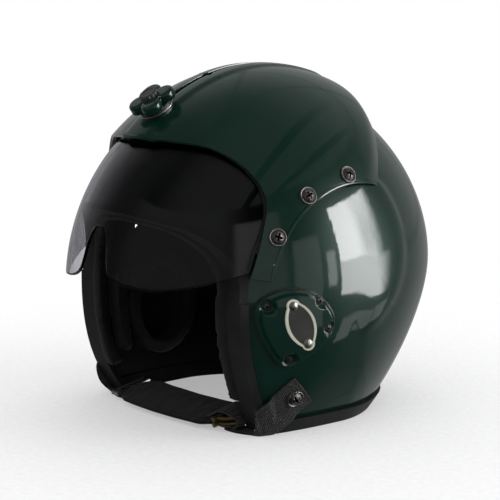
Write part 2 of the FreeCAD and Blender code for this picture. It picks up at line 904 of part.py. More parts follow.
def knob_cap():
    """Ribbed cap on top of the star."""
    cap = Part.makeCylinder(cap_radius, cap_height)
    for count in range(cap_teeth):
        turn = 2 * math.pi * count / cap_teeth
        place = Vector(cap_radius * math.cos(turn), cap_radius * math.sin(turn), 0)
        cap = cap.cut(Part.makeCylinder(cap_tooth, cap_height, place))
    return set_on_stud(cap, star_top)


# Chin strap group

def tab_place(across, along):
    """Side-view place from distances across and along the strap's anchor tab."""
    turn = math.radians(strap_lean)
    way = Vector(0, -math.cos(turn), -math.sin(turn))
    side_way = Vector(0, -math.sin(turn), math.cos(turn))
    place = Vector(0, *strap_screw) + side_way * across + way * along
    return place.y, place.z


def edge_cover(extra):
    """Side-view region of both edge trims, grown by an extra width."""
    neck_width = neck_trim_width - neck_lift
    return face_region(face_trim_width + extra).fuse(neck_region(neck_width + extra))


def one_side(sign, floor):
    """Half space on one side of the helmet, above a floor."""
    low, high = (0, reach) if sign > 0 else (-reach, 0)
    return block(Vector(low, -reach, floor), Vector(high, reach, reach))


def strap_tab(sign):
    """Webbing screwed to the shell, laid over the edge trims and folded under at the rim's corner."""
    half = strap_width / 2
    corners = [
        (-half, -strap_end_margin), (half, -strap_end_margin), (half, strap_reach), (-half, strap_reach)
    ]
    floor = -pivot_height + strap_floor_gap
    prism = side_polygon([tab_place(*corner) for corner in corners]).common(one_side(sign, floor))
    lift = trim_gap + strap_wall
    covered = edge_cover(trim_gap)
    low = helmet_form(-lift).cut(helmet_form(-trim_gap)).cut(covered)
    high = helmet_form(-trim_wall - lift).cut(helmet_form(-trim_gap)).common(edge_cover(lift))
    high = high.cut(helmet_form(-trim_wall - trim_gap).common(covered))
    tab = low.fuse(high).common(prism).cut(face_region(-trim_wall - trim_gap))
    low_x, high_x = (foot_inner, foot_outer) if sign > 0 else (-foot_outer, -foot_inner)
    foot = block(Vector(low_x, foot_front, floor), Vector(high_x, foot_back, floor + strap_wall))
    fold_low, fold_high = (foot_inner, foot_fold) if sign > 0 else (-foot_fold, -foot_inner)
    fold = block(Vector(fold_low, foot_front, floor), Vector(fold_high, foot_back, floor + 2 * strap_wall))
    point, normal = on_helmet(*strap_screw, 0, sign)
    bore = screw_bore
    return tab.fuse(foot).fuse(fold).cut(rod(point, normal, -strap_wall, 2 * lift, bore))


def strap_screw_place(sign):
    point, normal = on_helmet(*strap_screw, 0, sign)
    return point + normal * (trim_gap + strap_wall + fit_gap / 2), normal


def strap_washers(sign):
    return [washer(*strap_screw_place(sign))]


def strap_screws(sign):
    point, normal = strap_screw_place(sign)
    return [screw(point, normal, fit_gap / 2 + trim_gap + strap_wall + shell_wall)]


def strap_place(x, across, out):
    """Point on the bowed chin strap: along X, up its width, and out from its face."""
    turn = math.radians(strap_tilt)
    bow = 1 - (x / strap_half_length) ** 2
    lift = strap_end_lift + (strap_middle_lift - strap_end_lift) * bow
    foot = Vector(x, strap_end_depth - strap_bow * bow, -pivot_height + lift)
    up = Vector(0, math.cos(turn), math.sin(turn))
    face = Vector(0, -math.sin(turn), math.cos(turn))
    return foot + up * across + face * out


def sleeve_section(x, share):
    """Crowned closed section of the padded sleeve."""
    width = sleeve_width * (1 + share) / 2
    wall = sleeve_wall * share
    shift = (sleeve_width - width) / 2
    crown = sleeve_crown * share
    points = [
        (shift, -wall / 2), (shift + width, -wall / 2), (shift + width, wall / 2), (shift, wall / 2)
    ]
    low, right, top, left = [strap_place(x, u, v) for u, v in points]
    middle_top = strap_place(x, sleeve_width / 2, wall / 2 + crown)
    middle_low = strap_place(x, sleeve_width / 2, -wall / 2 - crown)
    side_out = strap_place(x, shift - crown, 0)
    side_in = strap_place(x, shift + width + crown, 0)
    return Part.Wire([
        arc(low, middle_low, right), arc(right, side_in, top),
        arc(top, middle_top, left), arc(left, side_out, low),
    ])


sleeve_station_shares = [(-1, 0.72), (-0.82, 1.0), (-0.3, 1.0), (0.3, 1.0), (0.82, 1.0), (1, 0.72)]


def strap_sleeve():
    wires = [
        sleeve_section(sleeve_shift + u * sleeve_half_length, share) for u, share in sleeve_station_shares
    ]
    return Part.makeLoft(wires, True, True)


def strap_strip(x_start, x_end):
    """Straight piece of webbing in the strap's own surface."""
    wires = []
    low = (sleeve_width - strap_width) / 2
    high = low + strap_width
    wall = strap_wall / 2
    for x in (x_start, x_end):
        corners = [
            strap_place(x, u, v) for u, v in ((low, -wall), (high, -wall), (high, wall), (low, wall))
        ]
        wires.append(Part.makePolygon(corners + corners[:1]))
    return Part.makeLoft(wires, True, True)


sleeve_left_end = sleeve_shift + sleeve_half_length
sleeve_right_end = sleeve_shift - sleeve_half_length


def strap_webbing():
    left = strap_strip(sleeve_left_end + fit_gap, strap_half_length - ring_wire - fit_gap)
    right = strap_strip(-strap_half_length + fit_gap, sleeve_right_end - fit_gap)
    return Part.makeCompound([left, right])


def d_ring(out):
    """One D-shaped ring of round wire in the strap's surface, at a distance out from it."""
    foot = strap_place(strap_half_length, sleeve_width / 2 - ring_arc_radius, out)
    top = strap_place(strap_half_length, sleeve_width / 2 + ring_arc_radius, out)
    along = Vector(1, 0, 0)
    up = (top - foot).normalize()
    bar_radius = ring_wire * ring_bar_share
    bar = rod(foot, up, -2 * bar_radius, 2 * ring_arc_radius + 2 * bar_radius, bar_radius)
    wire = Part.Face(Part.Wire(Part.Circle(foot, along, ring_wire).toShape()))
    return bar.fuse(wire.revolve((foot + top) * (1 / 2), along.cross(up), 180))


def d_rings():
    return Part.makeCompound([d_ring(0), d_ring(2 * ring_wire * ring_bar_share + fit_gap)])


def strap_slider():
    """Three-bar slider that the webbing's far end passes through."""
    low = (sleeve_width - slider_width) / 2
    opening = (slider_length - 3 * slider_bar) / 2

    def plate(x, length, edge, wall):
        corners = [
            strap_place(-strap_half_length, low + edge, -wall),
            strap_place(-strap_half_length, low + slider_width - edge, -wall),
            strap_place(-strap_half_length, low + slider_width - edge, wall),
            strap_place(-strap_half_length, low + edge, wall),
        ]
        face = Part.Face(Part.makePolygon(corners + corners[:1]))
        face.translate(Vector(x, 0, 0))
        return face.extrude(Vector(length, 0, 0))

    frame = plate(-slider_length, slider_length, 0, slider_wall / 2)
    for count in (0, 1):
        x = slider_bar - slider_length + count * (opening + slider_bar)
        frame = frame.cut(plate(x, opening, slider_bar, slider_wall))
    return frame


# Inside group

def layer(inset, wall):
    """Layer of the helmet's form between an inset and a wall further in."""
    return helmet_form(inset).cut(helmet_form(inset + wall))


liner_inset = shell_wall + trim_gap
pad_inset = liner_inset + liner_wall + trim_gap


def ear_oval(grow, sign, near, far):
    """Oval prism along X at an ear, between two distances from the middle plane."""
    y, z = cup_centre
    ellipse = Part.Ellipse(
        Vector(near, y, z + cup_half_height + grow), Vector(near, y + cup_half_length + grow, z),
        Vector(near, y, z),
    )
    prism = Part.Face(Part.Wire(ellipse.toShape())).extrude(Vector(far - near, 0, 0))
    return prism if sign > 0 else prism.mirror(Vector(0, 0, 0), Vector(1, 0, 0))


def impact_liner():
    """Foam liner under the shell, open at the face and neck, with pockets for the ear cups."""
    liner = layer(liner_inset, liner_wall).cut(face_region(roll_back + trim_gap))
    liner = liner.cut(block(Vector(-reach, -reach, -reach), Vector(reach, reach, liner_floor)))
    for sign in (1, -1):
        liner = liner.cut(ear_oval(2 * trim_gap, sign, 0, reach))
    return liner


def crown_pad():
    keep = block(Vector(-reach, -reach, crown_pad_floor), Vector(reach, reach, reach))
    return layer(pad_inset, pad_wall).common(keep)


def brow_pad():
    keep = block(Vector(-reach, -reach, brow_pad_floor), Vector(reach, brow_pad_back, brow_pad_top))
    return layer(pad_inset, pad_wall).common(keep).cut(face_region(roll_back + trim_gap))


def nape_pad():
    keep = block(
        Vector(-nape_pad_half_width, nape_pad_front, nape_pad_floor),
        Vector(nape_pad_half_width, reach, nape_pad_top),
    )
    return layer(liner_inset, nape_pad_wall).common(keep)


def cheek_pad(sign):
    keep = one_side(sign, cheek_pad_floor)
    keep = keep.common(block(Vector(-reach, -reach, -reach), Vector(reach, cheek_pad_back, cheek_pad_top)))
    return layer(pad_inset, cheek_pad_wall).common(keep).cut(face_region(roll_back + trim_gap))


def ear_cup(sign):
    """Hard sound cup, open towards the head."""
    cup = ear_oval(0, sign, cup_face, reach).common(helmet_form(liner_inset))
    return cup.cut(ear_oval(-cup_wall, sign, 0, reach).common(helmet_form(liner_inset + cup_wall)))


def ear_seal(sign):
    """Soft ring on the ear cup's rim."""
    ring = ear_oval(0, sign, seal_face, cup_face - trim_gap)
    return ring.cut(ear_oval(-seal_ring_wall, sign, 0, reach))


NODES = {
    "outer_shell": outer_shell,
    "face_trim": face_trim,
    "neck_trim": neck_trim,
    "edge_roll": edge_roll,
    "visor_housing": visor_housing,
    "visor_seal": visor_seal,
    "side_track_left": lambda: side_track(1),
    "side_track_right": lambda: side_track(-1),
    "centre_track": centre_track,
    "housing_screws": lambda: both_sides(housing_screws),
    "housing_washers": lambda: both_sides(housing_washers),
    "ear_cover_left": lambda: ear_cover(1),
    "ear_cover_right": lambda: ear_cover(-1),
    "ear_cover_screws_left": lambda: ear_cover_screws(1),
    "ear_cover_screws_right": lambda: ear_cover_screws(-1),
    "badge_plate": badge_plate,
    "badge_field": badge_field,
    "badge_rivets": badge_rivets,
    "visor_lens": visor_lens,
    "visor_carrier": visor_carrier,
    "carrier_rivets": carrier_rivets,
    "knob_washer": knob_washer,
    "knob_disc": knob_disc,
    "knob_star": knob_star,
    "knob_cap": knob_cap,
    "strap_tab_left": lambda: strap_tab(1),
    "strap_tab_right": lambda: strap_tab(-1),
    "strap_screws": lambda: both_sides(strap_screws),
    "strap_washers": lambda: both_sides(strap_washers),
    "strap_sleeve": strap_sleeve,
    "strap_webbing": strap_webbing,
    "d_rings": d_rings,
    "strap_slider": strap_slider,
    "impact_liner": impact_liner,
    "crown_pad": crown_pad,
    "brow_pad": brow_pad,
    "nape_pad": nape_pad,
    "cheek_pad_left": lambda: cheek_pad(1),
    "cheek_pad_right": lambda: cheek_pad(-1),
    "ear_cup_left": lambda: ear_cup(1),
    "ear_cup_right": lambda: ear_cup(-1),
    "ear_seal_left": lambda: ear_seal(1),
    "ear_seal_right": lambda: ear_seal(-1),
}

shapes = {name: make() for name, make in NODES.items()}
box = Part.makeCompound(list(shapes.values())).optimalBoundingBox(False, False)
home = Vector(0, -(box.YMin + box.YMax) / 2, pivot_height)
print("pivot line at y", round(home.y, 3), "z", home.z)

os.makedirs("parts", exist_ok=True)
for name, shape in shapes.items():
    shape.translate(home)
    shape.exportStep("parts/" + name + ".step")
    print(name, len(shape.Solids), "solids, valid", shape.isValid())
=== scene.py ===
import math
import bpy
import numpy
from mathutils import Matrix, Vector, noise


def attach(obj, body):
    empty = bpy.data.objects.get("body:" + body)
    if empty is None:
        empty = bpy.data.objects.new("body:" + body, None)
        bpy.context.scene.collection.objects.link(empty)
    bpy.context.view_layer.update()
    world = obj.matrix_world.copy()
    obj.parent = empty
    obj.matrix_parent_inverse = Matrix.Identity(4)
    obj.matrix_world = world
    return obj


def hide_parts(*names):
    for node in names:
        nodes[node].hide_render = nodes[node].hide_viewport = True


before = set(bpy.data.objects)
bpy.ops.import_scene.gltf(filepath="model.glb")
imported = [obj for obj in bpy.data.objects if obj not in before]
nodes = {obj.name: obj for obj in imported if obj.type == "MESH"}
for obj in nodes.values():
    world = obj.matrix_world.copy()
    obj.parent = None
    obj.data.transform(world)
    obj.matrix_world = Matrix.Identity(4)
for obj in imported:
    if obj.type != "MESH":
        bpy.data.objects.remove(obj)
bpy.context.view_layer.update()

# Lengths are in millimetres round the visor's pivot line, as in the part's source, and
# become metres in the row's frame when a mesh is made. The face looks along -Y.
MM = 0.001
HOME = Vector((0, 5.499, 89.6))
GROUND = -89.6

# Half widths along X and side-view radii of the nested round forms. The margin's form draws
# the housing in towards its rear edge.
SHELL_HALF, SHELL_FRONT, SHELL_REAR, SHELL_LOW = 113.5, 142.0, 133.3, 140.0
LENS_HALF, LENS_RADIUS = 116.0, 147.0
HOUSING_HALF, HOUSING_RADIUS = 118.5, 153.2
MARGIN_HALF, MARGIN_RADIUS, MARGIN_CENTRE = 119.1, 153.96, Vector((0, -60.1, 45.0))
# The face edge is an arc with a bend into the brow's line. The neck edge rises at the back.
FACE_CENTRE, FACE_RADIUS, FACE_BEND = Vector((60.5, -6.0)), 150.0, 38.0
BROW_POINT, BROW_SLOPE = Vector((-112.0, 53.0)), 24.0
NECK_Z, NECK_RISE_Y, NECK_RADIUS = -87.0, 60.0, 700.0
STRAP_SCREW = Vector((-52.6, -62.6))
SHELL_WALL, HOUSING_WALL, LENS_WALL = 3.0, 2.2, 2.2


def metres(p):
    return (Vector(p) + HOME) * MM


def unit(turn):
    """Direction at an angle in degrees."""
    return Vector((math.cos(math.radians(turn)), math.sin(math.radians(turn))))


def arm(raise_angle, radius, x=0.0):
    """Point at a raise over the level through the pivot line, and a distance from that line."""
    turn = math.radians(raise_angle)
    return Vector((x, -radius * math.cos(turn), radius * math.sin(turn)))


# Forms of the shell and the housing

class Form:
    """Closed round body whose slices along X are scaled copies of one side profile."""

    def __init__(self, half_width, quadrants):
        self.half_width = half_width
        samples = []
        for start, corner, share, end in quadrants:
            for i in range(500):
                t = i / 500
                w = ((1 - t) ** 2, 2 * share * t * (1 - t), t ** 2)
                y = (w[0] * start[0] + w[1] * corner[0] + w[2] * end[0]) / sum(w)
                z = (w[0] * start[1] + w[1] * corner[1] + w[2] * end[1]) / sum(w)
                samples.append((math.degrees(math.atan2(z, -y)) % 360, math.hypot(y, z)))
        angles, radii = zip(*sorted(samples))
        self.table = numpy.interp([step / 4 for step in range(1441)], angles, radii, period=360).tolist()

    def radius(self, angle):
        place = (angle % 360) * 4
        low = int(place)
        return self.table[low] + (self.table[low + 1] - self.table[low]) * (place - low)

    def share(self, y, z):
        """1 on the side outline, less inside, more outside."""
        return math.hypot(y, z) / self.radius(math.degrees(math.atan2(z, -y)))

    def level(self, p):
        """1 on the form, less inside, more outside."""
        return math.hypot(p[0] / self.half_width, self.share(p[1], p[2]))

    def normal(self, p):
        h = 0.05
        grad = Vector()
        for axis in range(3):
            step = Vector()
            step[axis] = h
            grad[axis] = self.level(p + step) - self.level(p - step)
        return grad.normalized()

    def over(self, y, z, out=0.0):
        """Point over a side-view place, on the +X side, raised along the normal."""
        p = Vector((self.half_width * math.sqrt(max(0.0, 1 - self.share(y, z) ** 2)), y, z))
        return p + self.normal(p) * out if out else p

    def spread(self, y, z):
        """Side-view place as even surface coordinates: angle and distance from the ear point."""
        tilt = math.degrees(math.asin(min(1.0, self.share(y, z))))
        return unit(math.degrees(math.atan2(z, -y))) * tilt

    def at(self, q):
        """Point of the form at even surface coordinates, on the +X side."""
        angle = math.degrees(math.atan2(q.y, q.x))
        tilt = math.radians(min(90.0, q.length))
        return arm(angle, self.radius(angle) * math.sin(tilt), self.half_width * math.cos(tilt))


ROUND = math.sqrt(0.5)
SHELL = Form(SHELL_HALF, [
    ((-SHELL_FRONT, 0), (-SHELL_FRONT, SHELL_FRONT), ROUND, (0, SHELL_FRONT)),
    ((0, SHELL_FRONT), (SHELL_REAR, SHELL_FRONT), 0.641, (SHELL_REAR, 18.4)),
    ((SHELL_REAR, 18.4), (SHELL_REAR, -SHELL_LOW), 0.386, (0, -SHELL_LOW)),
    ((0, -SHELL_LOW), (-SHELL_FRONT, -SHELL_LOW), 1.6, (-SHELL_FRONT, 0)),
])
HOUSING = Form(HOUSING_HALF, [
    ((a * HOUSING_RADIUS, b * HOUSING_RADIUS), (c * HOUSING_RADIUS, d * HOUSING_RADIUS), ROUND,
     (e * HOUSING_RADIUS, f * HOUSING_RADIUS))
    for a, b, c, d, e, f in (
        (-1, 0, -1, 1, 0, 1), (0, 1, 1, 1, 1, 0), (1, 0, 1, -1, 0, -1), (0, -1, -1, -1, -1, 0),
    )
])


def smooth(value, low, high):
    """0 at low, 1 at high, eased between."""
    t = min(1.0, max(0.0, (value - low) / (high - low)))
    return t * t * (3 - 2 * t)


def turns(count):
    """Even angles round a circle, in radians."""
    return [2 * math.pi * k / count for k in range(count)]


def dent(value, place, width):
    """Round bell of height 1 at a place."""
    return math.exp(-((value - place) / width) ** 2)


def bisect(low, high, steps, still_low):
    """Ends of the narrow span in which still_low(value) stops being true."""
    for _ in range(steps):
        middle = (low + high) / 2
        if still_low(middle):
            low = middle
        else:
            high = middle
    return low, high


def step_along(points, size):
    """Even points along a broken line, its ends kept."""
    points = [Vector(p) for p in points]
    lengths = [(b - a).length for a, b in zip(points, points[1:])]
    total = sum(lengths)
    count = max(2, round(total / size))
    out, k, done = [points[0]], 0, 0.0
    for i in range(1, count):
        goal = total * i / count
        while done + lengths[k] < goal:
            done += lengths[k]
            k += 1
        out.append(points[k].lerp(points[k + 1], (goal - done) / lengths[k]))
    return out + [points[-1]]


def evenly(points, count):
    """A fixed number of even points along a broken line."""
    total = sum((b - a).length for a, b in zip(points, points[1:]))
    return step_along(points, total / (count - 1))


def curve_through(points, count, closed=False):
    """Smooth curve through points. An open one keeps both ends."""
    points = [Vector(p) for p in points]
    spans = len(points) if closed else len(points) - 1
    if closed:
        ends = points[-1:] + points + points[:2]
    else:
        ends = [points[0] * 2 - points[1]] + points + [points[-1] * 2 - points[-2]]
    out = []
    for i in range(count if closed else count + 1):
        place = min(spans - 1e-9, spans * i / count)
        k, t = int(place), place - int(place)
        a, b, c, d = ends[k:k + 4]
        out.append(0.5 * (
            2 * b + (c - a) * t + (2 * a - 5 * b + 4 * c - d) * t ** 2 + (3 * b - a - 3 * c + d) * t ** 3
        ))
    return out


# Edges of the face and neck openings, side view

def up_to_outline(points):
    """The points, the last one moved onto the shell's outline."""
    return points[:-1] + [points[-1] / SHELL.share(*points[-1])]


def face_edge():
    """Face edge from the neck up to the brow's middle."""
    slope = math.radians(BROW_SLOPE)
    up = Vector((-math.cos(slope), math.sin(slope)))
    normal = Vector((math.sin(slope), math.cos(slope)))
    base = BROW_POINT - normal * FACE_BEND
    step = base - FACE_CENTRE
    along = step.dot(up)
    reach = FACE_RADIUS + FACE_BEND
    bend_centre = base + up * (-along + math.sqrt(along ** 2 - step.dot(step) + reach ** 2))
    touch = FACE_CENTRE + (bend_centre - FACE_CENTRE) * (FACE_RADIUS / reach)
    line_start = bend_centre + normal * FACE_BEND
    start_turn = math.asin((NECK_Z - FACE_CENTRE.y) / FACE_RADIUS)
    end_turn = math.asin((touch.y - FACE_CENTRE.y) / FACE_RADIUS)
    points = []
    for i in range(61):
        turn = start_turn + (end_turn - start_turn) * i / 60
        points.append(FACE_CENTRE + Vector((-math.cos(turn), math.sin(turn))) * FACE_RADIUS)
    first = (touch - bend_centre).angle_signed(Vector((1, 0)))
    last = (line_start - bend_centre).angle_signed(Vector((1, 0)))
    for i in range(1, 17):
        turn = first + (last - first) * i / 16
        points.append(bend_centre + Vector((math.cos(turn), math.sin(turn))) * FACE_BEND)
    for i in range(1, 40):
        points.append(line_start + up * i)
        if SHELL.share(*points[-1]) > 1:
            break
    return up_to_outline(points)


def neck_edge():
    """Neck edge from the back's middle forward to the face edge."""
    points = []
    for i in range(200):
        y = i - 70.0
        rise = NECK_RADIUS - math.sqrt(NECK_RADIUS ** 2 - max(0.0, y - NECK_RISE_Y) ** 2)
        points.append(Vector((y, NECK_Z + rise)))
        if y > 0 and SHELL.share(*points[-1]) > 1:
            break
    front = face_edge()[0]
    return [p for p in reversed(up_to_outline(points)) if p.x > front.x + 0.5] + [front]


def face_line(z):
    """Y of the face edge's arc at a height."""
    return FACE_CENTRE.x - math.sqrt(FACE_RADIUS ** 2 - (z - FACE_CENTRE.y) ** 2)


# Meshes

def facing_out(points, faces, middle):
    """The faces, all turned over if most of them look towards the middle."""
    total = 0.0
    for f in faces[::7]:
        a, b, c = (points[k] for k in f[:3])
        total += (b - a).cross(c - a).dot(a - middle)
    return faces if total > 0 else [tuple(reversed(f)) for f in faces]


def make_mesh(name, points, faces, uvs=None, material=None, middle=Vector()):
    """Piece in its material, from points in millimetres. The uvs are one pair for each point."""
    mesh = bpy.data.meshes.new(name)
    faces = facing_out(points, faces, middle)
    mesh.from_pydata([metres(p) for p in points], [], faces)
    if uvs:
        layer = mesh.uv_layers.new(name="cloth")
        for loop in mesh.loops:
            layer.data[loop.index].uv = uvs[loop.vertex_index]
    mesh.polygons.foreach_set("use_smooth", [True] * len(mesh.polygons))
    mesh.update()
    piece = bpy.data.objects.new(name, mesh)
    bpy.context.scene.collection.objects.link(piece)
    mesh.materials.append(material)
    return piece


def grid_faces(rows, columns, closed=False):
    """Faces of a grid whose points run along the columns first."""
    faces = []
    for i in range(rows - 1):
        for j in range(columns if closed else columns - 1):
            a, b = i * columns + j, i * columns + (j + 1) % columns
            faces.append((a, b, b + columns, a + columns))
    return faces


def modifier(piece, kind, **values):
    m = piece.modifiers.new(kind.lower(), kind)
    for key, value in values.items():
        setattr(m, key, value)


def apply_all(piece):
    """Bakes the modifiers into the mesh."""
    depsgraph = bpy.context.evaluated_depsgraph_get()
    done = bpy.data.meshes.new_from_object(piece.evaluated_get(depsgraph))
    piece.modifiers.clear()
    piece.data = done


def mirrored(points, faces):
    """The same points and faces on the other side of X = 0 too, closed along the middle."""
    for p in points:
        if abs(p.x) < 0.01:
            p.x = 0.0
    other = [Vector((-p.x, p.y, p.z)) for p in points]
    return points + other, faces + [tuple(i + len(points) for i in reversed(f)) for f in faces]


def weld(piece):
    modifier(piece, "WELD", merge_threshold=0.02 * MM)


def thicken(piece, wall, **values):
    """Gives a skin its wall, inwards."""
    modifier(piece, "SOLIDIFY", thickness=wall * MM, offset=-1.0, **values)


def round_edges(piece, width, segments, angle):
    limit = math.radians(angle)
    modifier(piece, "BEVEL", width=width * MM, segments=segments, limit_method="ANGLE", angle_limit=limit)


def finish_piece(piece, body, *replaced, slot):
    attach(piece, body)
    if replaced:
        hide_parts(*replaced)


# Materials

def new_material(name, colour, roughness, metallic=0.0, **sockets):
    m = bpy.data.materials.new(name)
    m.use_nodes = True
    shader = m.node_tree.nodes["Principled BSDF"]
    shader.inputs["Base Color"].default_value = (*colour, 1)
    shader.inputs["Roughness"].default_value = roughness
    shader.inputs["Metallic"].default_value = metallic
    for key, value in sockets.items():
        shader.inputs[key.replace("_", " ")].default_value = value
    return m


def node(m, kind, **values):
    n = m.node_tree.nodes.new(kind)
    for key, value in values.items():
        if key in n.inputs:
            n.inputs[key].default_value = value
        else:
            setattr(n, key, value)
    return n


def link(m, a, b):
    m.node_tree.links.new(a, b)


def calc(m, operation, *values):
    """Result of a math node. Its inputs are numbers or what other nodes give."""
    n = node(m, "ShaderNodeMath", operation=operation)
    for socket, value in zip(n.inputs, values):
        if isinstance(value, (int, float)):
            socket.default_value = value
        else:
            link(m, value, socket)
    return n.outputs[0]


def eased(m, value, low, high, start=0.0, end=1.0):
    """Number that goes from start to end while the value goes from low to high."""
    n = node(m, "ShaderNodeMapRange", interpolation_type="SMOOTHSTEP")
    for key, number in (("From Min", low), ("From Max", high), ("To Min", start), ("To Max", end)):
        n.inputs[key].default_value = number
    link(m, value, n.inputs["Value"])
    return n.outputs["Result"]


def mixed(m, share, one, two):
    """Shader that is the first one at share 0 and the second one at share 1."""
    n = node(m, "ShaderNodeMixShader")
    for socket, value in zip(n.inputs, (share, one, two)):
        link(m, value, socket)
    return n.outputs[0]


def coordinates(m, kind="Object"):
    return node(m, "ShaderNodeTexCoord").outputs[kind]


def noise_of(m, place, scale, detail=3.0):
    n = node(m, "ShaderNodeTexNoise", Scale=scale, Detail=detail, Roughness=0.55)
    link(m, place, n.inputs["Vector"])
    return n.outputs["Fac"]


def ramp(m, value, stops):
    r = node(m, "ShaderNodeValToRGB")
    while len(r.color_ramp.elements) < len(stops):
        r.color_ramp.elements.new(0.5)
    for element, (place, colour) in zip(r.color_ramp.elements, stops):
        element.position = place
        element.color = (*colour, 1)
    link(m, value, r.inputs["Fac"])
    return r.outputs["Color"]


def grey(value):
    return (value, value, value)


def shader_of(m):
    return m.node_tree.nodes["Principled BSDF"]


def bump(m, height, strength, distance, below=None):
    b = node(m, "ShaderNodeBump", Strength=strength, Distance=distance)
    link(m, height, b.inputs["Height"])
    if below:
        link(m, below, b.inputs["Normal"])
    link(m, b.outputs["Normal"], shader_of(m).inputs["Normal"])
    return b.outputs["Normal"]


def vary(m, value, low, high, socket):
    link(m, ramp(m, value, [(0.3, low), (0.7, high)]), shader_of(m).inputs[socket])


def grained(name, dark, light, roughness, scale, strength, distance):
    """Moulded or cast surface: two noise scales for colour, roughness and grain."""
    m = new_material(name, dark, roughness)
    place = coordinates(m)
    broad = noise_of(m, place, scale * 0.08)
    vary(m, broad, dark, light, "Base Color")
    vary(m, broad, grey(roughness - 0.08), grey(roughness + 0.08), "Roughness")
    bump(m, noise_of(m, place, scale, 5.0), strength, distance)
    return m


def leather(name, dark, light, roughness):
    m = new_material(name, dark, roughness, Sheen_Weight=0.03, Specular_IOR_Level=0.35)
    place = coordinates(m)
    cells = node(m, "ShaderNodeTexVoronoi", Scale=900.0, feature="DISTANCE_TO_EDGE")
    link(m, place, cells.inputs["Vector"])
    vary(m, noise_of(m, place, 60.0), dark, light, "Base Color")
    vary(m, noise_of(m, place, 140.0), grey(roughness - 0.08), grey(roughness + 0.1), "Roughness")
    fold = bump(m, noise_of(m, place, 90.0, 4.0), 0.25, 0.0012)
    bump(m, cells.outputs["Distance"], 0.45, 0.0006, fold)
    return m


def woven(name, dark, light, roughness, threads, depth):
    """Woven strap or cloth: warp and weft bands over the piece's own cloth coordinates."""
    m = new_material(name, dark, roughness, Sheen_Weight=0.08, Sheen_Roughness=0.4, Specular_IOR_Level=0.3)
    place = coordinates(m, "UV")
    bands = []
    for way, scale in (("X", threads), ("Y", threads * 0.8)):
        wave = node(m, "ShaderNodeTexWave", Scale=scale, Distortion=0.4, bands_direction=way)
        link(m, place, wave.inputs["Vector"])
        bands.append(wave.outputs["Fac"])
    weave = calc(m, "MULTIPLY", *bands)
    blend = calc(m, "MULTIPLY_ADD", noise_of(m, place, 0.3, 5.0), 0.7, weave)
    link(m, ramp(m, blend, [(0.2, dark), (1.0, light)]), shader_of(m).inputs["Base Color"])
    bump(m, weave, 0.7, depth)
    return m


def painted_edge_metal(name, colour, edge_highlight, roughness, shaded_recess=False):
    """Metal painted lighter on sharp edges and domes as a painted highlight, and left at its base colour in
    hollows as painted shade. Where the recess is shaded, the cloth coordinates give a near black painted
    shade in a recess.
    """
    m = new_material(name, colour, roughness, 1.0)
    place = coordinates(m)
    edge = node(m, "ShaderNodeNewGeometry").outputs["Pointiness"]
    # Painted light by pointiness: the second colour is a painted highlight on edges and domes, and hollows
    # keep the darker base colour as painted shade.
    lit_and_shaded_tones = ramp(m, edge, [(0.49, colour), (0.56, edge_highlight)])
    # Painted shade: the driver's cross recess is darkened nearly to black, as the shade inside it.
    if shaded_recess:
        recess_shade = node(m, "ShaderNodeSeparateXYZ")
        link(m, coordinates(m, "UV"), recess_shade.inputs[0])
        shade = node(m, "ShaderNodeVectorMath", operation="MULTIPLY")
        link(m, lit_and_shaded_tones, shade.inputs[0])
        link(m, ramp(m, recess_shade.outputs["X"], [(0.15, grey(1.0)), (0.7, grey(0.02))]), shade.inputs[1])
        lit_and_shaded_tones = shade.outputs["Vector"]
    link(m, lit_and_shaded_tones, shader_of(m).inputs["Base Color"])
    vary(m, noise_of(m, place, 150.0), grey(roughness - 0.1), grey(roughness + 0.14), "Roughness")
    bump(m, noise_of(m, place, 500.0, 4.0), 0.15, 0.0004)
    return m


def gloss_paint():
    """Thick green paint under a clear coat, with faint orange peel."""
    m = new_material(
        "green_gloss", (0.0045, 0.026, 0.0175), 0.32,
        Specular_IOR_Level=0.2, Coat_Weight=1.0, Coat_Roughness=0.025, Coat_Tint=(0.86, 1.0, 0.95, 1),
    )
    place = coordinates(m)
    vary(m, noise_of(m, place, 9.0), (0.0016, 0.0128, 0.0090), (0.0024, 0.0170, 0.0122), "Base Color")
    peel = node(m, "ShaderNodeBump", Strength=0.05, Distance=0.0006)
    link(m, noise_of(m, place, 160.0, 2.0), peel.inputs["Height"])
    link(m, peel.outputs["Normal"], shader_of(m).inputs["Coat Normal"])
    link(m, peel.outputs["Normal"], shader_of(m).inputs["Normal"])
    return m


def smoke_glass():
    """Smoke visor: tinted, clear, with faint handling haze."""
    m = new_material("smoke_lens", (0.485, 0.472, 0.52), 0.0, IOR=1.5, Transmission_Weight=1.0)
    vary(m, noise_of(m, coordinates(m), 24.0), grey(0.0), grey(0.012), "Roughness")
    return m


GREEN = gloss_paint()
SMOKE = smoke_glass()
RUBBER = grained("black_rubber", (0.005, 0.0055, 0.0055), (0.010, 0.0105, 0.0105), 0.5, 900.0, 0.25, 0.0004)
LEATHER = leather("black_leather", grey(0.004), (0.009, 0.0088, 0.0085), 0.5)
DARK_PLASTIC = grained("dark_plastic", (0.010, 0.011, 0.011), grey(0.018), 0.42, 700.0, 0.18, 0.0003)
FOAM = grained("black_foam", (0.005, 0.005, 0.0055), grey(0.010), 0.85, 1400.0, 0.5, 0.0008)
LINING_PAINT = grained(
    "inner_paint", (0.004, 0.0045, 0.0045), (0.009, 0.0095, 0.0095), 0.7, 500.0, 0.3, 0.0005
)
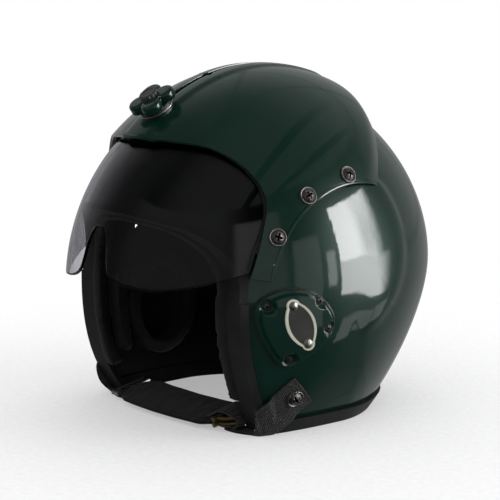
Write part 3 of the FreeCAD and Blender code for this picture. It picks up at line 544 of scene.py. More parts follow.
# Each of these metals is painted lighter on its edges and domes as a highlight, and darker in its hollows as
# shade.
DARK_STEEL = painted_edge_metal("dark_steel", (0.15, 0.142, 0.134), (0.30, 0.285, 0.27), 0.46, shaded_recess=True)
GREY_METAL = painted_edge_metal("grey_metal", (0.33, 0.33, 0.32), (0.6, 0.6, 0.58), 0.38)
BRIGHT_STEEL = painted_edge_metal("bright_steel", (0.55, 0.55, 0.54), (0.8, 0.8, 0.79), 0.25)
NICKEL = painted_edge_metal("aged_nickel", (0.30, 0.31, 0.26), (0.55, 0.56, 0.5), 0.38)
BRASS = painted_edge_metal("brass_wire", (0.20, 0.145, 0.07), (0.42, 0.33, 0.18), 0.36)
GREY_PLASTIC = grained("grey_plastic", (0.018, 0.02, 0.019), (0.034, 0.036, 0.034), 0.35, 500.0, 0.2, 0.0003)
CREAM = grained("cream_enamel", (0.34, 0.345, 0.28), (0.50, 0.505, 0.42), 0.34, 900.0, 0.15, 0.0002)
FIELD = grained("dark_enamel", (0.014, 0.014, 0.013), (0.03, 0.03, 0.028), 0.35, 800.0, 0.3, 0.0003)
WEBBING = woven("black_webbing", grey(0.002), (0.034, 0.034, 0.033), 0.62, 0.24, 0.0007)
CLOTH = woven("black_cloth", (0.0015, 0.0015, 0.0016), (0.008, 0.008, 0.0082), 0.85, 0.7, 0.0003)

FINISH = {
    GREEN: ["outer_shell", "visor_housing", "ear_cover_left", "ear_cover_right", "knob_star"],
    RUBBER: ["face_trim", "neck_trim", "visor_seal"],
    LEATHER: [
        "edge_roll", "ear_seal_left", "ear_seal_right", "brow_pad", "crown_pad", "nape_pad",
        "cheek_pad_left", "cheek_pad_right",
    ],
    DARK_PLASTIC: [
        "knob_disc", "side_track_left", "side_track_right", "centre_track", "ear_cup_left", "ear_cup_right",
    ],
    DARK_STEEL: [
        "housing_screws", "housing_washers", "strap_screws", "strap_washers",
        "ear_cover_screws_left", "ear_cover_screws_right", "carrier_rivets",
    ],
    GREY_METAL: ["visor_carrier", "knob_washer"],
    BRIGHT_STEEL: ["strap_slider"],
    NICKEL: ["badge_rivets"],
    CREAM: ["badge_plate"],
    FIELD: ["badge_field"],
    SMOKE: ["visor_lens"],
    GREY_PLASTIC: ["knob_cap"],
    WEBBING: ["strap_tab_left", "strap_tab_right", "strap_webbing"],
    CLOTH: ["strap_sleeve"],
    BRASS: ["d_rings"],
    FOAM: ["impact_liner"],
}
for material, names in FINISH.items():
    for name in names:
        mesh = nodes[name].data
        mesh.materials.clear()
        mesh.materials.append(material)


# Camera, floor and light

ROOM_LIGHT = 0.95
# The wall is dim, and pale towards WALL_WAY.
WALL_DIM, WALL_PALE, WALL_WAY = 0.015, 0.30, (-0.62, 0.78, -0.1)
# Each pane: azimuth from and to, elevation from and to, softness of both sides, brightness.
WINDOW_PANES = [
    (111.5, 116.5, -4.0, 10.0, 0.6, 0.6, 2.6),
    (119.0, 136.0, 4.8, 27.0, 0.6, 6.0, 13.5),
    (119.0, 140.0, -8.0, 4.8, 0.6, 8.0, 8.0),
    (121.5, 131.0, -23.0, -14.0, 0.6, 0.8, 1.0),
    (132.0, 151.0, -21.0, -13.0, 0.8, 3.0, 0.9),
    (62.0, 90.0, -8.0, 30.0, 3.0, 3.0, 0.3),
    (93.5, 108.5, -14.0, 18.0, 2.0, 0.6, 0.55),
    (-120.0, -20.0, -4.0, 84.0, 14.0, 14.0, 0.05),
    (-20.0, 62.0, -4.0, 38.0, 14.0, 14.0, 0.13),
]
CEILING, CEILING_LOW = 0.115, 38.0
# Beams of the ceiling: spacing and width as shares of the room's height, and the level
# direction square to them.
BEAM_GAP, BEAM_WIDTH, BEAM_WAY = 0.4, 0.1, (0.75, 0.66)
# Radii at which the floor starts to fade to white and is as white as it gets, in metres.
FLOOR_NEAR, FLOOR_FAR, FLOOR_SIZE = 0.22, 0.46, 12.0


def toward(azimuth, elevation):
    """Direction from the helmet. Azimuth 0 is ahead of the face, 90 is +X."""
    a, e = math.radians(azimuth), math.radians(elevation)
    return Vector((math.sin(a) * math.cos(e), -math.cos(a) * math.cos(e), math.sin(e)))


def set_camera():
    """The photograph's camera: its place by direction and distance, its aim by a small turn."""
    azimuth, elevation, distance, focal, picture, sensor = 49.0, 9.8451, 1.2, 1654.97, 500, 36.0
    yaw, pitch = azimuth + 0.2393, elevation - 0.914
    back = toward(yaw, pitch)
    right = unit(yaw).to_3d()
    up = back.cross(right)
    camera = bpy.data.objects.new("camera", bpy.data.cameras.new("camera"))
    camera.data.sensor_width = sensor
    camera.data.lens = sensor * focal / picture
    camera.data.clip_end = 50.0
    camera.matrix_world = Matrix((right, up, back)).transposed().to_4x4()
    camera.matrix_world.translation = HOME * MM + toward(azimuth, elevation) * distance
    bpy.context.scene.collection.objects.link(camera)
    bpy.context.scene.camera = camera


def softbox(name, azimuth, elevation, distance, width, height, radiance, seen=False):
    """Flat lamp that faces the helmet from a direction."""
    way = toward(azimuth, elevation)
    lamp = bpy.data.lights.new(name, "AREA")
    lamp.shape = "RECTANGLE"
    lamp.size, lamp.size_y = width, height
    lamp.energy = radiance * math.pi * width * height
    piece = bpy.data.objects.new(name, lamp)
    piece.location = HOME * MM + way * distance
    piece.rotation_euler = (-way).to_track_quat("-Z", "Y").to_euler()
    piece.visible_glossy = seen
    piece.visible_transmission = seen
    bpy.context.scene.collection.objects.link(piece)


def room_light(m):
    """Brightness of the room by direction: wall, beamed ceiling and window panes."""
    way = coordinates(m, "Generated")
    parts = node(m, "ShaderNodeSeparateXYZ")
    link(m, way, parts.inputs[0])
    x, y, z = parts.outputs
    azimuth = calc(m, "MULTIPLY", calc(m, "ARCTAN2", x, calc(m, "MULTIPLY", y, -1.0)), 180 / math.pi)
    elevation = calc(m, "MULTIPLY", calc(m, "ARCSINE", z), 180 / math.pi)
    side = node(m, "ShaderNodeVectorMath", operation="DOT_PRODUCT")
    side.inputs[1].default_value = WALL_WAY
    link(m, way, side.inputs[0])
    level = eased(m, side.outputs["Value"], -0.15, 0.8, WALL_DIM, WALL_PALE)
    # Thin darker frames cut the wall into panels.
    for angle, width, dark in ((azimuth, 13.0, 0.72), (elevation, 17.0, 0.8)):
        level = calc(m, "MULTIPLY", level, eased(m, calc(m, "PINGPONG", angle, width), 0.6, 1.8, dark, 1.0))
    # Place over the ceiling, square to its beams. The part over the face has none.
    run = calc(m, "ADD", calc(m, "MULTIPLY", x, BEAM_WAY[0]), calc(m, "MULTIPLY", y, BEAM_WAY[1]))
    over = calc(m, "DIVIDE", run, calc(m, "MAXIMUM", z, 0.1))
    to_beam = calc(m, "SUBTRACT", BEAM_GAP / 2, calc(m, "PINGPONG", over, BEAM_GAP / 2))
    between = eased(m, to_beam, BEAM_WIDTH * 0.4, BEAM_WIDTH * 0.6)
    pale = calc(m, "MAXIMUM", between, eased(m, over, 0.45, 0.4))
    pale = calc(m, "MULTIPLY", pale, eased(m, elevation, CEILING_LOW - 0.8, CEILING_LOW + 0.8, 0.0, CEILING))
    level = calc(m, "ADD", level, calc(m, "MULTIPLY", pale, eased(m, x, -0.35, 0.4)))

    def band(value, low, high, soft_low, soft_high):
        rise = eased(m, value, low - soft_low, low + soft_low)
        return calc(m, "SUBTRACT", rise, eased(m, value, high - soft_high, high + soft_high))

    for low, high, floor, top, soft_low, soft_high, bright in WINDOW_PANES:
        across = band(azimuth, low, high, soft_low, soft_high)
        pane = calc(m, "MULTIPLY", across, band(elevation, floor, top, 0.8, 0.8))
        level = calc(m, "ADD", level, calc(m, "MULTIPLY", pane, bright))
    return level


def set_world():
    """White studio. Mirror-like surfaces see a dim room with a pale wall and one tall window."""
    world = bpy.data.worlds.new("studio")
    bpy.context.scene.world = world
    world.use_nodes = True
    world.node_tree.nodes.clear()
    plain, room, white = (
        node(world, "ShaderNodeBackground", Strength=strength, Color=(1, 1, 1, 1))
        for strength in (ROOM_LIGHT, 1.0, 1.0)
    )
    link(world, room_light(world), room.inputs["Color"])
    # A reflection that leaves through the visor still sees the room, not the white background.
    ray = node(world, "ShaderNodeLightPath").outputs
    mirrored_once = calc(world, "GREATER_THAN", ray["Glossy Depth"], 0.5)
    scattered = calc(world, "GREATER_THAN", ray["Diffuse Depth"], 0.5)
    through = ray["Is Transmission Ray"]
    reflected = calc(world, "MAXIMUM", ray["Is Glossy Ray"], calc(world, "MULTIPLY", through, mirrored_once))
    straight = calc(world, "SUBTRACT", 1.0, calc(world, "MAXIMUM", mirrored_once, scattered))
    clear = calc(world, "MAXIMUM", ray["Is Camera Ray"], calc(world, "MULTIPLY", through, straight))
    around = mixed(world, reflected, plain.outputs[0], room.outputs[0])
    out = node(world, "ShaderNodeOutputWorld")
    link(world, mixed(world, clear, around, white.outputs[0]), out.inputs["Surface"])


def set_floor():
    """Pale floor that keeps the shadow near the helmet and fades to white further out."""
    mesh = bpy.data.meshes.new("floor")
    corners = [(x * FLOOR_SIZE, y * FLOOR_SIZE, 0) for x, y in ((-1, -1), (1, -1), (1, 1), (-1, 1))]
    mesh.from_pydata(corners, [], [(0, 1, 2, 3)])
    floor = bpy.data.objects.new("floor", mesh)
    bpy.context.scene.collection.objects.link(floor)
    m = new_material("floor", (0.86, 0.865, 0.87), 0.8, Specular_IOR_Level=0.1)
    place = coordinates(m)
    vary(m, noise_of(m, place, 220.0, 6.0), (0.80, 0.805, 0.81), grey(0.9), "Base Color")
    bump(m, noise_of(m, place, 320.0, 5.0), 0.25, 0.001)
    length = node(m, "ShaderNodeVectorMath", operation="LENGTH")
    link(m, place, length.inputs[0])
    fade = eased(m, length.outputs["Value"], FLOOR_NEAR, FLOOR_FAR, start=0.38)
    ray = node(m, "ShaderNodeLightPath").outputs
    share = calc(m, "MULTIPLY", fade, calc(m, "MAXIMUM", ray["Is Camera Ray"], ray["Is Transmission Ray"]))
    white = node(m, "ShaderNodeEmission", Color=(1, 1, 1, 1))
    lit = mixed(m, share, shader_of(m).outputs[0], white.outputs[0])
    # Reflections see the room through the floor, so the low sides of the shell stay dark.
    clear = node(m, "ShaderNodeBsdfTransparent")
    last = mixed(m, ray["Is Glossy Ray"], lit, clear.outputs[0])
    link(m, last, m.node_tree.nodes["Material Output"].inputs["Surface"])
    mesh.materials.append(m)


bpy.context.scene.view_settings.view_transform = "Standard"
set_camera()
set_world()
set_floor()
softbox("window", 132.0, 18.0, 2.2, 1.4, 1.2, 3.0)
softbox("overhead", -150.0, 62.0, 2.2, 1.6, 1.2, 1.15)
softbox("front_fill", 20.0, 60.0, 2.4, 1.4, 1.0, 0.2)
softbox("small_lamp", -14.0, 26.0, 2.0, 0.045, 0.045, 60.0, seen=True)


# Shell

def shell_swell(p):
    """Soft fold behind the ear, as height over the form. It ends where the lens slides."""
    away = math.hypot(p.y + 20.0, p.z - 37.0)
    ring = smooth(away, 67.0, 60.0) * smooth(away, 20.0, 56.0)
    return 1.6 * ring * smooth(p.y, -10.0, 15.0) * smooth(math.hypot(p.y, p.z), 87.0, 78.0)


def make_shell():
    face, neck = step_along(face_edge(), 2.0), step_along(neck_edge(), 2.2)
    start, end = (math.degrees(math.atan2(p.y, -p.x)) % 360 for p in (face[-1], neck[0]))
    count = round((end - start) * 2.5 / 2.3)
    crown = [unit(start + (end - start) * i / count) * 90.0 for i in range(1, count)]
    edge = [SHELL.spread(*p) for p in face]
    back = [SHELL.spread(*p) for p in neck[:-1]]
    edge[-1] = edge[-1].normalized() * 90.0
    back[0] = back[0].normalized() * 90.0
    rim = edge + crown + back
    # The fan's pole lies over the brow line, from where it meets every point of the rim.
    pole = SHELL.spread(-42.0, 84.0)
    rows = 60
    rings = [[SHELL.at(pole.lerp(q, j / rows)) for q in rim] for j in range(1, rows + 1)]
    points, faces = rings_mesh(rings, foot=SHELL.at(pole))
    for p in points:
        p += SHELL.normal(p) * shell_swell(p)
    piece = make_mesh("shell_skin", *mirrored(points, faces), material=GREEN)
    piece.data.materials.append(LINING_PAINT)
    weld(piece)
    thicken(piece, SHELL_WALL, material_offset=1)
    apply_all(piece)
    finish_piece(piece, "helmet", "outer_shell", slot="green_gloss")


# Visor housing. Its lip runs from the tab's front foot to the brow's middle, the arch round the
# ear is part of a circle round the pivot line, and the rear edge is straight from the side.

TAB_FRONT, LIP_TOP = Vector((-88.5, 20.5)), Vector((-109.2, 107.4))
LIP_BETWEEN = [(-77.0, 50.0), (-70.3, 71.0), (-75.0, 89.0), (-88.0, 102.5), (-104.0, 107.0)]
ARCH_RADIUS, ARCH_START, ARCH_UNDER_LIP = 77.0, 13.5, 94.0
REAR_LEAN, REAR_OFFSET = 53.2, 24.0
REAR_NORMAL = unit(90.0 + REAR_LEAN)
SLOT_LOW, SLOT_HIGH, SLOT_HALF = 52.9, 106.1, 2.5
NOTCH_AT, NOTCH_RADIUS = 72.6, 2.2


def housing_scale(p):
    """How far a point of the housing's ball is drawn in by the rear margin's form."""
    w = Vector((1 / MARGIN_HALF, 1 / MARGIN_RADIUS, 1 / MARGIN_RADIUS))
    a = sum((p[i] * w[i]) ** 2 for i in range(3))
    b = -2 * sum(p[i] * MARGIN_CENTRE[i] * w[i] ** 2 for i in range(3))
    d = sum((MARGIN_CENTRE[i] * w[i]) ** 2 for i in range(3)) - 1
    k = (-b + math.sqrt(b * b - 4 * a * d)) / (2 * a)
    soft = 0.018
    return 0.5 * (k + 1 - math.sqrt((k - 1) ** 2 + soft ** 2))


def housing_point(q):
    p = HOUSING.at(q)
    return p * housing_scale(p)


def housing_spread(place):
    """Even surface coordinates of the housing over a side-view place."""
    way = unit(math.degrees(math.atan2(place.y, -place.x)))

    def nearer(tilt):
        p = housing_point(way * tilt)
        return math.hypot(p.y, p.z) < place.length

    return way * bisect(0.0, 90.0, 30, nearer)[1]


def ridge_lift(p):
    """Height of the flat ridge that carries the slot."""
    turn = math.degrees(math.atan2(p.z, -p.y))
    return 1.4 * smooth(abs(p.x), 13.6, 11.8) * smooth(turn, 114.0, 106.0)


def slot_half(turn):
    """Half width of the centre slot at a raise, with its round ends and the small notch."""
    per_degree = math.radians(1) * HOUSING_RADIUS
    away = max(SLOT_LOW - turn, turn - SLOT_HIGH, 0.0) * per_degree
    width = math.sqrt(SLOT_HALF ** 2 - away ** 2) if away < SLOT_HALF else 0.0
    notch = abs(turn - NOTCH_AT) * per_degree
    if notch < NOTCH_RADIUS:
        width = max(width, SLOT_HALF + math.sqrt(NOTCH_RADIUS ** 2 - notch ** 2))
    return width


def arch_place(turn):
    """Side-view place on the arch."""
    return Vector(arm(turn, ARCH_RADIUS).yz)


def rear_place(reach):
    """Side-view place on the rear edge at a distance from the pivot line."""
    along = Vector((REAR_NORMAL.y, -REAR_NORMAL.x))
    return REAR_NORMAL * REAR_OFFSET + along * math.sqrt(reach ** 2 - REAR_OFFSET ** 2)


def housing_outer(lip):
    """Surface coordinates along the lip and then the slot, and how far back the crown reaches."""
    top = math.degrees(math.atan2(LIP_TOP.y, -LIP_TOP.x))
    reach = HOUSING_RADIUS
    for _ in range(20):
        end = 90.0 - REAR_LEAN + math.degrees(math.acos(REAR_OFFSET / reach))
        reach = housing_point(unit(end) * 90).length
    outer = [housing_spread(p) for p in lip]
    outer[-1] = outer[-1].normalized() * 90.0
    steps = 190
    for i in range(1, steps + 1):
        turn = top + (end - top) * i / steps
        outer.append(unit(turn) * (90.0 - math.degrees(math.asin(slot_half(turn) / HOUSING_HALF))))
    return outer, reach


def housing_inner(lip_count, columns):
    """Surface coordinates along the arch. Most of it faces the lip, so that no line between
    them crosses the opening."""
    low_end = rear_place(ARCH_RADIUS)
    rear_turn = math.degrees(math.atan2(low_end.y, -low_end.x))
    inner = []
    for i in range(columns):
        if i < lip_count:
            turn = ARCH_START + (ARCH_UNDER_LIP - ARCH_START) * i / lip_count
        else:
            share = (i - lip_count) / (columns - 1 - lip_count)
            turn = ARCH_UNDER_LIP + (rear_turn - ARCH_UNDER_LIP) * share
        inner.append(housing_spread(arch_place(turn)))
    return inner


def housing_wall(points, rows, columns):
    """Wall down to the shell along the tab's foot, the arch and the rear edge."""
    border = [j * columns for j in range(rows - 1, 0, -1)] + list(range(columns))
    border += [j * columns + columns - 1 for j in range(1, rows)]
    foot = Vector((0, *(TAB_FRONT - arch_place(ARCH_START)).orthogonal())).normalized()
    ways = []
    for count, k in enumerate(border):
        p = points[k]
        if count < rows - 1:
            flat = foot
        elif count < rows + columns - 2:
            flat = Vector((0, p.y, p.z)).normalized()
        else:
            flat = Vector((0, *REAR_NORMAL))
        n = HOUSING.normal(p)
        ways.append(-(n - flat * n.dot(flat)).normalized())
    low_edge = []
    for count, k in enumerate(border):
        way = sum(ways[max(0, count - 5):count + 6], Vector()).normalized()
        reach = bisect(0.0, 14.0, 24, lambda t: SHELL.level(points[k] + way * t) > 1.0015)[0]
        low_edge.append(points[k] + way * reach)
    first = len(points)
    faces = [(border[i + 1], border[i], first + i, first + i + 1) for i in range(len(border) - 1)]
    return low_edge, faces


def make_housing():
    rows = 64
    lip = step_along(curve_through([TAB_FRONT] + LIP_BETWEEN, 80) + [LIP_TOP], 1.0)
    outer, reach = housing_outer(lip)
    columns = len(outer)
    inner = housing_inner(len(lip), columns)
    left, right = [], []
    for v in [j / 300 for j in range(301)]:
        left.append(housing_spread(arch_place(ARCH_START).lerp(TAB_FRONT, v)))
        rear = rear_place(ARCH_RADIUS).lerp(rear_place(reach), math.sin(v * math.pi / 2))
        right.append(housing_spread(rear))
    left, right = evenly(left, rows), evenly(right, rows)
    right[-1] = outer[-1]
    points = []
    for j in range(rows):
        v = j / (rows - 1)
        for i in range(columns):
            q = inner[i].lerp(outer[i], v)
            q += (left[j] - inner[0].lerp(outer[0], v)) * smooth(i, len(lip) * 0.5, 0)
            q += (right[j] - inner[-1].lerp(outer[-1], v)) * smooth(i, len(lip), columns - 1)
            p = housing_point(outer[i] if j == rows - 1 else q)
            points.append(p + HOUSING.normal(p) * ridge_lift(p))
    wall_points, wall_faces = housing_wall(points, rows, columns)
    points, faces = mirrored(points + wall_points, grid_faces(rows, columns) + wall_faces)
    piece = make_mesh("housing_skin", points, faces, material=GREEN)
    weld(piece)
    round_edges(piece, 1.1, 3, 48)
    thicken(piece, HOUSING_WALL)
    round_edges(piece, 0.35, 2, 60)
    apply_all(piece)
    finish_piece(piece, "helmet", "visor_housing", slot="green_gloss")


# Lens. Seen from the front, its lower edge is a nose notch, then a curve that rises to a bend
# near the side. Its top edge is straight from the side, at a lean and an offset.

LENS_SIDE, NOTCH_END, LENS_BEND = 91.7, 48.0, 90.0
LENS_LOW, LENS_TOP_LEAN, LENS_TOP_OFFSET = 11.0, -13.2, 37.5
NOSE_NOTCH = curve_through([
    (0, 50.5), (4.5, 49.2), (8.0, 44.5), (10.8, 36.5), (12.4, 28.0), (15.0, 20.5), (20.5, 16.0),
    (30.0, 13.0), (NOTCH_END, LENS_LOW),
], 160)


def lens_low(x):
    """Height of the lens's lower edge at a distance from the middle."""
    if x <= NOTCH_END:
        for a, b in zip(NOSE_NOTCH, NOSE_NOTCH[1:]):
            if a.x <= x <= b.x:
                return a.y + (b.y - a.y) * (x - a.x) / max(1e-6, b.x - a.x)
    if x <= LENS_BEND:
        t = (x - NOTCH_END) / (LENS_BEND - NOTCH_END)
        return LENS_LOW + 1.5 * t + 10.0 * t ** 2
    return LENS_LOW + 11.5 + (x - LENS_BEND) * 0.3


def make_lens():
    half = []
    x = 0.0
    while x < LENS_SIDE:
        half.append(x)
        x += 0.35 if x < 12 else 0.8 if x < 30 else 1.8
    half.append(LENS_SIDE)
    columns = []
    for x in [-x for x in reversed(half[1:])] + half:
        r = LENS_RADIUS * math.sqrt(1 - (x / LENS_HALF) ** 2)
        low = math.degrees(math.asin(lens_low(abs(x)) / r))
        high = LENS_TOP_LEAN + math.degrees(math.acos(LENS_TOP_OFFSET / r))
        columns.append((x, r, low, high))
    rows = 70
    points = [
        arm(low + (high - low) * j / (rows - 1), r, x) for j in range(rows) for x, r, low, high in columns
    ]
    piece = make_mesh("lens_shell", points, grid_faces(rows, len(columns)), material=SMOKE)
    thicken(piece, LENS_WALL)
    round_edges(piece, 0.5, 2, 60)
    apply_all(piece)
    finish_piece(piece, "visor", "visor_lens", slot="smoke_lens")


# Fasteners

SCREW_RAISES, SCREW_CIRCLE = (34.0, 59.5, 86.0), 83.0
# Seat, radius, height and recess depth of the screw heads.
LARGE_HEAD, SMALL_HEAD = (0.65, 4.7, 2.4, 1.3), (1.5, 2.6, 1.4, 0.8)
# Height of the strap tab's face over the shell.
TAB_TOP = 2.35


def level_frame(n):
    """Two directions square to a normal, the first one level."""
    side = Vector((0, 0, 1)).cross(n).normalized()
    return side, n.cross(side)


def rings_mesh(rings, tip=None, foot=None):
    """Points and faces of closed rings in a row, with end points where they are given."""
    n = len(rings[0])
    points = [p for ring in rings for p in ring]
    faces = grid_faces(len(rings), n, closed=True)
    last = (len(rings) - 1) * n
    if tip is not None:
        points.append(tip)
        faces += [(last + j, last + (j + 1) % n, len(points) - 1) for j in range(n)]
    if foot is not None:
        points.append(foot)
        faces += [((j + 1) % n, j, len(points) - 1) for j in range(n)]
    return points, faces


def joined(parts):
    points, faces = [], []
    for part_points, part_faces in parts:
        faces += [tuple(i + len(points) for i in f) for f in part_faces]
        points += part_points
    return points, faces


def circle(place, n, height, radius, count):
    """Ring round a normal, at a height over a place."""
    side, up = level_frame(n)
    return [place + n * height + (side * math.cos(t) + up * math.sin(t)) * radius for t in turns(count)]


def cross_recess(u, v, reach, half):
    """1 in the driver's cross, 0 outside."""
    one = smooth(reach - abs(u), -0.1, 0.5) * smooth(half - abs(v), -0.12, 0.12)
    two = smooth(reach - abs(v), -0.1, 0.5) * smooth(half - abs(u), -0.12, 0.12)
    return max(one, two)


def screw_head(place, n, size, turn):
    """Domed head with a cross recess, and how far each point is inside the recess, which the steel turns
    into painted shade.
    """
    seat, radius, height, depth = size
    count, rows = 72, 30
    recess_shade = [0.0] * count
    rings = [circle(place, n, seat - 0.3, radius, count)]
    for i in range(rows):
        share = 1 - i / rows
        ring = circle(place, n, seat, radius * share, count)
        for t, p in zip(turns(count), ring):
            u, v = radius * share * math.cos(t + turn), radius * share * math.sin(t + turn)
            hollow = cross_recess(u, v, radius * 0.62, radius * 0.13)
            recess_shade.append(hollow)
            p += n * (height * (1 - share ** 2.6) - depth * hollow)
        rings.append(ring)
    return *rings_mesh(rings, tip=place + n * (seat + height - depth)), recess_shade + [1.0]


def cup_washer(place, n):
    """Washer with a rolled rim and a hollow middle, with no painted shade in a recess."""
    profile = [
        (6.0, -0.4), (6.0, 0.95), (5.88, 1.2), (5.6, 1.3), (5.25, 1.22), (5.05, 1.0), (4.75, 0.65),
        (2.2, 0.65),
    ]
    points, faces = rings_mesh([circle(place, n, height, radius, 56) for radius, height in profile])
    return points, faces, [0.0] * len(points)


def make_screws():
    heads, cups, small = [], [], []
    for count, turn in enumerate(SCREW_RAISES):
        a = arm(turn, SCREW_CIRCLE)
        place = HOUSING.over(a.y, a.z)
        n = HOUSING.normal(place)
        heads.append(screw_head(place, n, LARGE_HEAD, 0.35 + count * 0.8))
        cups.append(cup_washer(place, n))
    place = SHELL.over(*STRAP_SCREW)
    n = SHELL.normal(place)
    place = place + n * TAB_TOP
    strap_head, strap_cup = screw_head(place, n, LARGE_HEAD, 0.9), cup_washer(place, n)
    for count, (u, v) in enumerate(COVER_POCKETS):
        place = cover_place(u, v)
        small.append(screw_head(place, SHELL.normal(place), SMALL_HEAD, 0.3 + count * 0.7))
    for name, parts, replaced in (
        ("housing_screw_heads", heads, ["housing_screws"]),
        ("housing_cup_washers", cups, ["housing_washers"]),
        ("strap_screw_heads", [strap_head], ["strap_screws"]),
        ("strap_cup_washers", [strap_cup], ["strap_washers"]),
        ("cover_screw_heads", small, ["ear_cover_screws_left", "ear_cover_screws_right"]),
    ):
        points, faces = mirrored(*joined([part[:2] for part in parts]))
        # Each point's share of the cross recess goes to the UV X, where the steel paints shade into the
        # recess.
        recess_shade = [(recess_share, 0.0) for part in parts for recess_share in part[2]] * 2
        piece = make_mesh(name, points, faces, recess_shade, DARK_STEEL)
        finish_piece(piece, "helmet", *replaced, slot="dark_steel")


# Ear covers

COVER_CENTRE, COVER_SIZE = Vector((-56.0, -13.5)), Vector((27.5, 26.5))
# Screw pockets and outline, as shares of the size.
COVER_POCKETS = [(-0.70, 0.56), (0.56, 0.62), (0.80, -0.10), (-0.17, -0.80)]
COVER_OUTLINE = [
    (-0.86, 0.72), (-0.25, 0.97), (0.42, 0.84), (0.94, 0.30), (0.90, -0.28), (0.35, -0.78),
    (-0.22, -1.00), (-0.62, -0.68), (-0.97, 0.18),
]


def cover_place(u, v, out=0.0):
    """Point over the left ear cover, at shares of its size."""
    return SHELL.over(COVER_CENTRE.x + COVER_SIZE.x * u, COVER_CENTRE.y + COVER_SIZE.y * v, out)


def make_ear_covers():
    outline = curve_through(COVER_OUTLINE, 220, closed=True)
    rings = [[cover_place(o.x, o.y, -0.4) for o in outline]]
    for share in [0.70 + 0.0085 * i for i in range(34, -1, -1)] + [0.03 * i for i in range(23, 0, -1)]:
        shoulder = smooth(share, 0.895, 0.825)
        full = 2.4 + 3.8 * shoulder + 0.35 * (1 - (share / 0.84) ** 2) * shoulder
        edge = max(0.0, min(1.0, (share - 0.965) / 0.0235))
        ring = []
        for u, v in [o * share for o in outline]:
            away = min(math.hypot(COVER_SIZE.x * (u - a), COVER_SIZE.y * (v - b)) for a, b in COVER_POCKETS)
            rise = 1.5 + (full - 1.5) * smooth(away, 3.7, 5.0)
            ring.append(cover_place(u, v, rise * math.sqrt(1 - edge ** 2)))
        rings.append(ring)
    points, faces = rings_mesh(rings, tip=cover_place(0, 0, 6.55))
    # Painted shade: a black rubber ring round each cover stands in for the shadow under its raised edge.
    shadow_rings = []
    for grow, height in ((0.94, 0.2), (0.99, 0.9), (1.012, 0.75), (1.02, 0.45), (1.02, -0.3)):
        shadow_rings.append([cover_place(o.x * grow, o.y * grow, height) for o in outline])
    ring = make_mesh("cover_shadow_rings", *mirrored(*rings_mesh(shadow_rings)), material=RUBBER)
    finish_piece(ring, "helmet", slot="black_rubber")
    for name, sign in (("ear_cover_left", 1), ("ear_cover_right", -1)):
        spots = [Vector((p.x * sign, p.y, p.z)) for p in points]
        piece = make_mesh(name + "_shell", spots, faces, material=GREEN)
        finish_piece(piece, "helmet", name, slot="green_gloss")


# Lock knob, by distance from the pivot line along its stud

STUD_RAISE, STAR_LOW, STAR_TOP, STAR_FILLET = 54.5, 158.3, 165.3, 2.4
# Radius and place of the disc's profile. Its first part is the washer under it.
DISC = [
    (12.4, 154.7), (12.4, 155.3), (12.1, 155.7), (11.9, 155.8), (11.8, 157.5), (11.3, 158.2),
    (10.4, 158.3), (4, 158.3),
]
# Radius and height over the star of the cap's profile.
CAP = [
    (6.7, -0.3), (6.8, 2.0), (6.6, 2.7), (6.1, 3.1), (5.4, 3.2), (4.6, 3.15), (4.2, 2.8), (3.0, 2.75),
    (1.5, 2.75),
]


def stud_place(along, u=0.0, v=0.0):
    """Point at a distance from the pivot line along the stud, and across it."""
    n = arm(STUD_RAISE, 1.0)
    side, up = level_frame(n)
    return n * along + side * u + up * v


def star_radius(turn, inset):
    """Outline of the four-lobed grip, as a soft union of its core and lobes."""
    best = 8.6 - inset
    lobe, far = 7.3 - inset, 9.3
    for k in range(4):
        a = math.radians(45 + 90 * k) - turn
        inside = lobe ** 2 - (far * math.sin(a)) ** 2
        if inside > 0 and math.cos(a) > 0:
            gap = far * math.cos(a) + math.sqrt(inside) - best
            if gap > -3:
                best += (gap + math.sqrt(gap ** 2 + 0.8)) / 2
    return best


def knob_ring(along, radius):
    """Ring round the stud. The radius is a function of the turn."""
    return [stud_place(along, radius(t) * math.cos(t), radius(t) * math.sin(t)) for t in turns(144)]


def knob_piece(name, replaced, rings, material, slot, middle, tip=None, foot=None):
    points, faces = rings_mesh(rings, tip, foot)
    piece = make_mesh(name, points, faces, material=material, middle=arm(STUD_RAISE, middle))
    finish_piece(piece, "knob", replaced, slot=slot)


def make_knob():
    rows = [(0.5, STAR_LOW), (0.0, STAR_LOW + 0.6), (0.0, STAR_TOP - STAR_FILLET)]
    for i in range(1, 9):
        a = math.pi / 2 * i / 8
        rows.append((STAR_FILLET * (1 - math.cos(a)), STAR_TOP - STAR_FILLET * (1 - math.sin(a))))
    star = [knob_ring(along, lambda t: star_radius(t, inset)) for inset, along in rows]
    for share in (0.8, 0.6, 0.4, 0.2):
        dish = 0.175 * (1 - share)
        star.append(knob_ring(STAR_TOP + dish, lambda t: star_radius(t, STAR_FILLET) * share))
    tip = stud_place(STAR_TOP + 0.17)
    knob_piece("knob_star_grip", "knob_star", star, GREEN, "green_gloss", 160.0, tip, stud_place(STAR_LOW))
    cap = []
    for radius, rise in CAP:
        rib = 0.55 if radius > 5 else 0.0
        cap.append(knob_ring(STAR_TOP + rise, lambda t: radius - rib * max(0.0, math.cos(12 * t)) ** 2))
    tip = stud_place(STAR_TOP + 2.75)
    knob_piece("knob_cap_ribbed", "knob_cap", cap, GREY_PLASTIC, "grey_plastic", 160.0, tip)
    rings = [knob_ring(along, lambda t: radius) for radius, along in DISC]
    knob_piece("knob_disc_round", "knob_disc", rings[3:], DARK_PLASTIC, "dark_plastic", 150.0)
    rings = [knob_ring(DISC[0][1], lambda t: 3.0)] + rings[:4]
    knob_piece("knob_washer_round", "knob_washer", rings, GREY_METAL, "grey_metal", 150.0)


# Chin strap

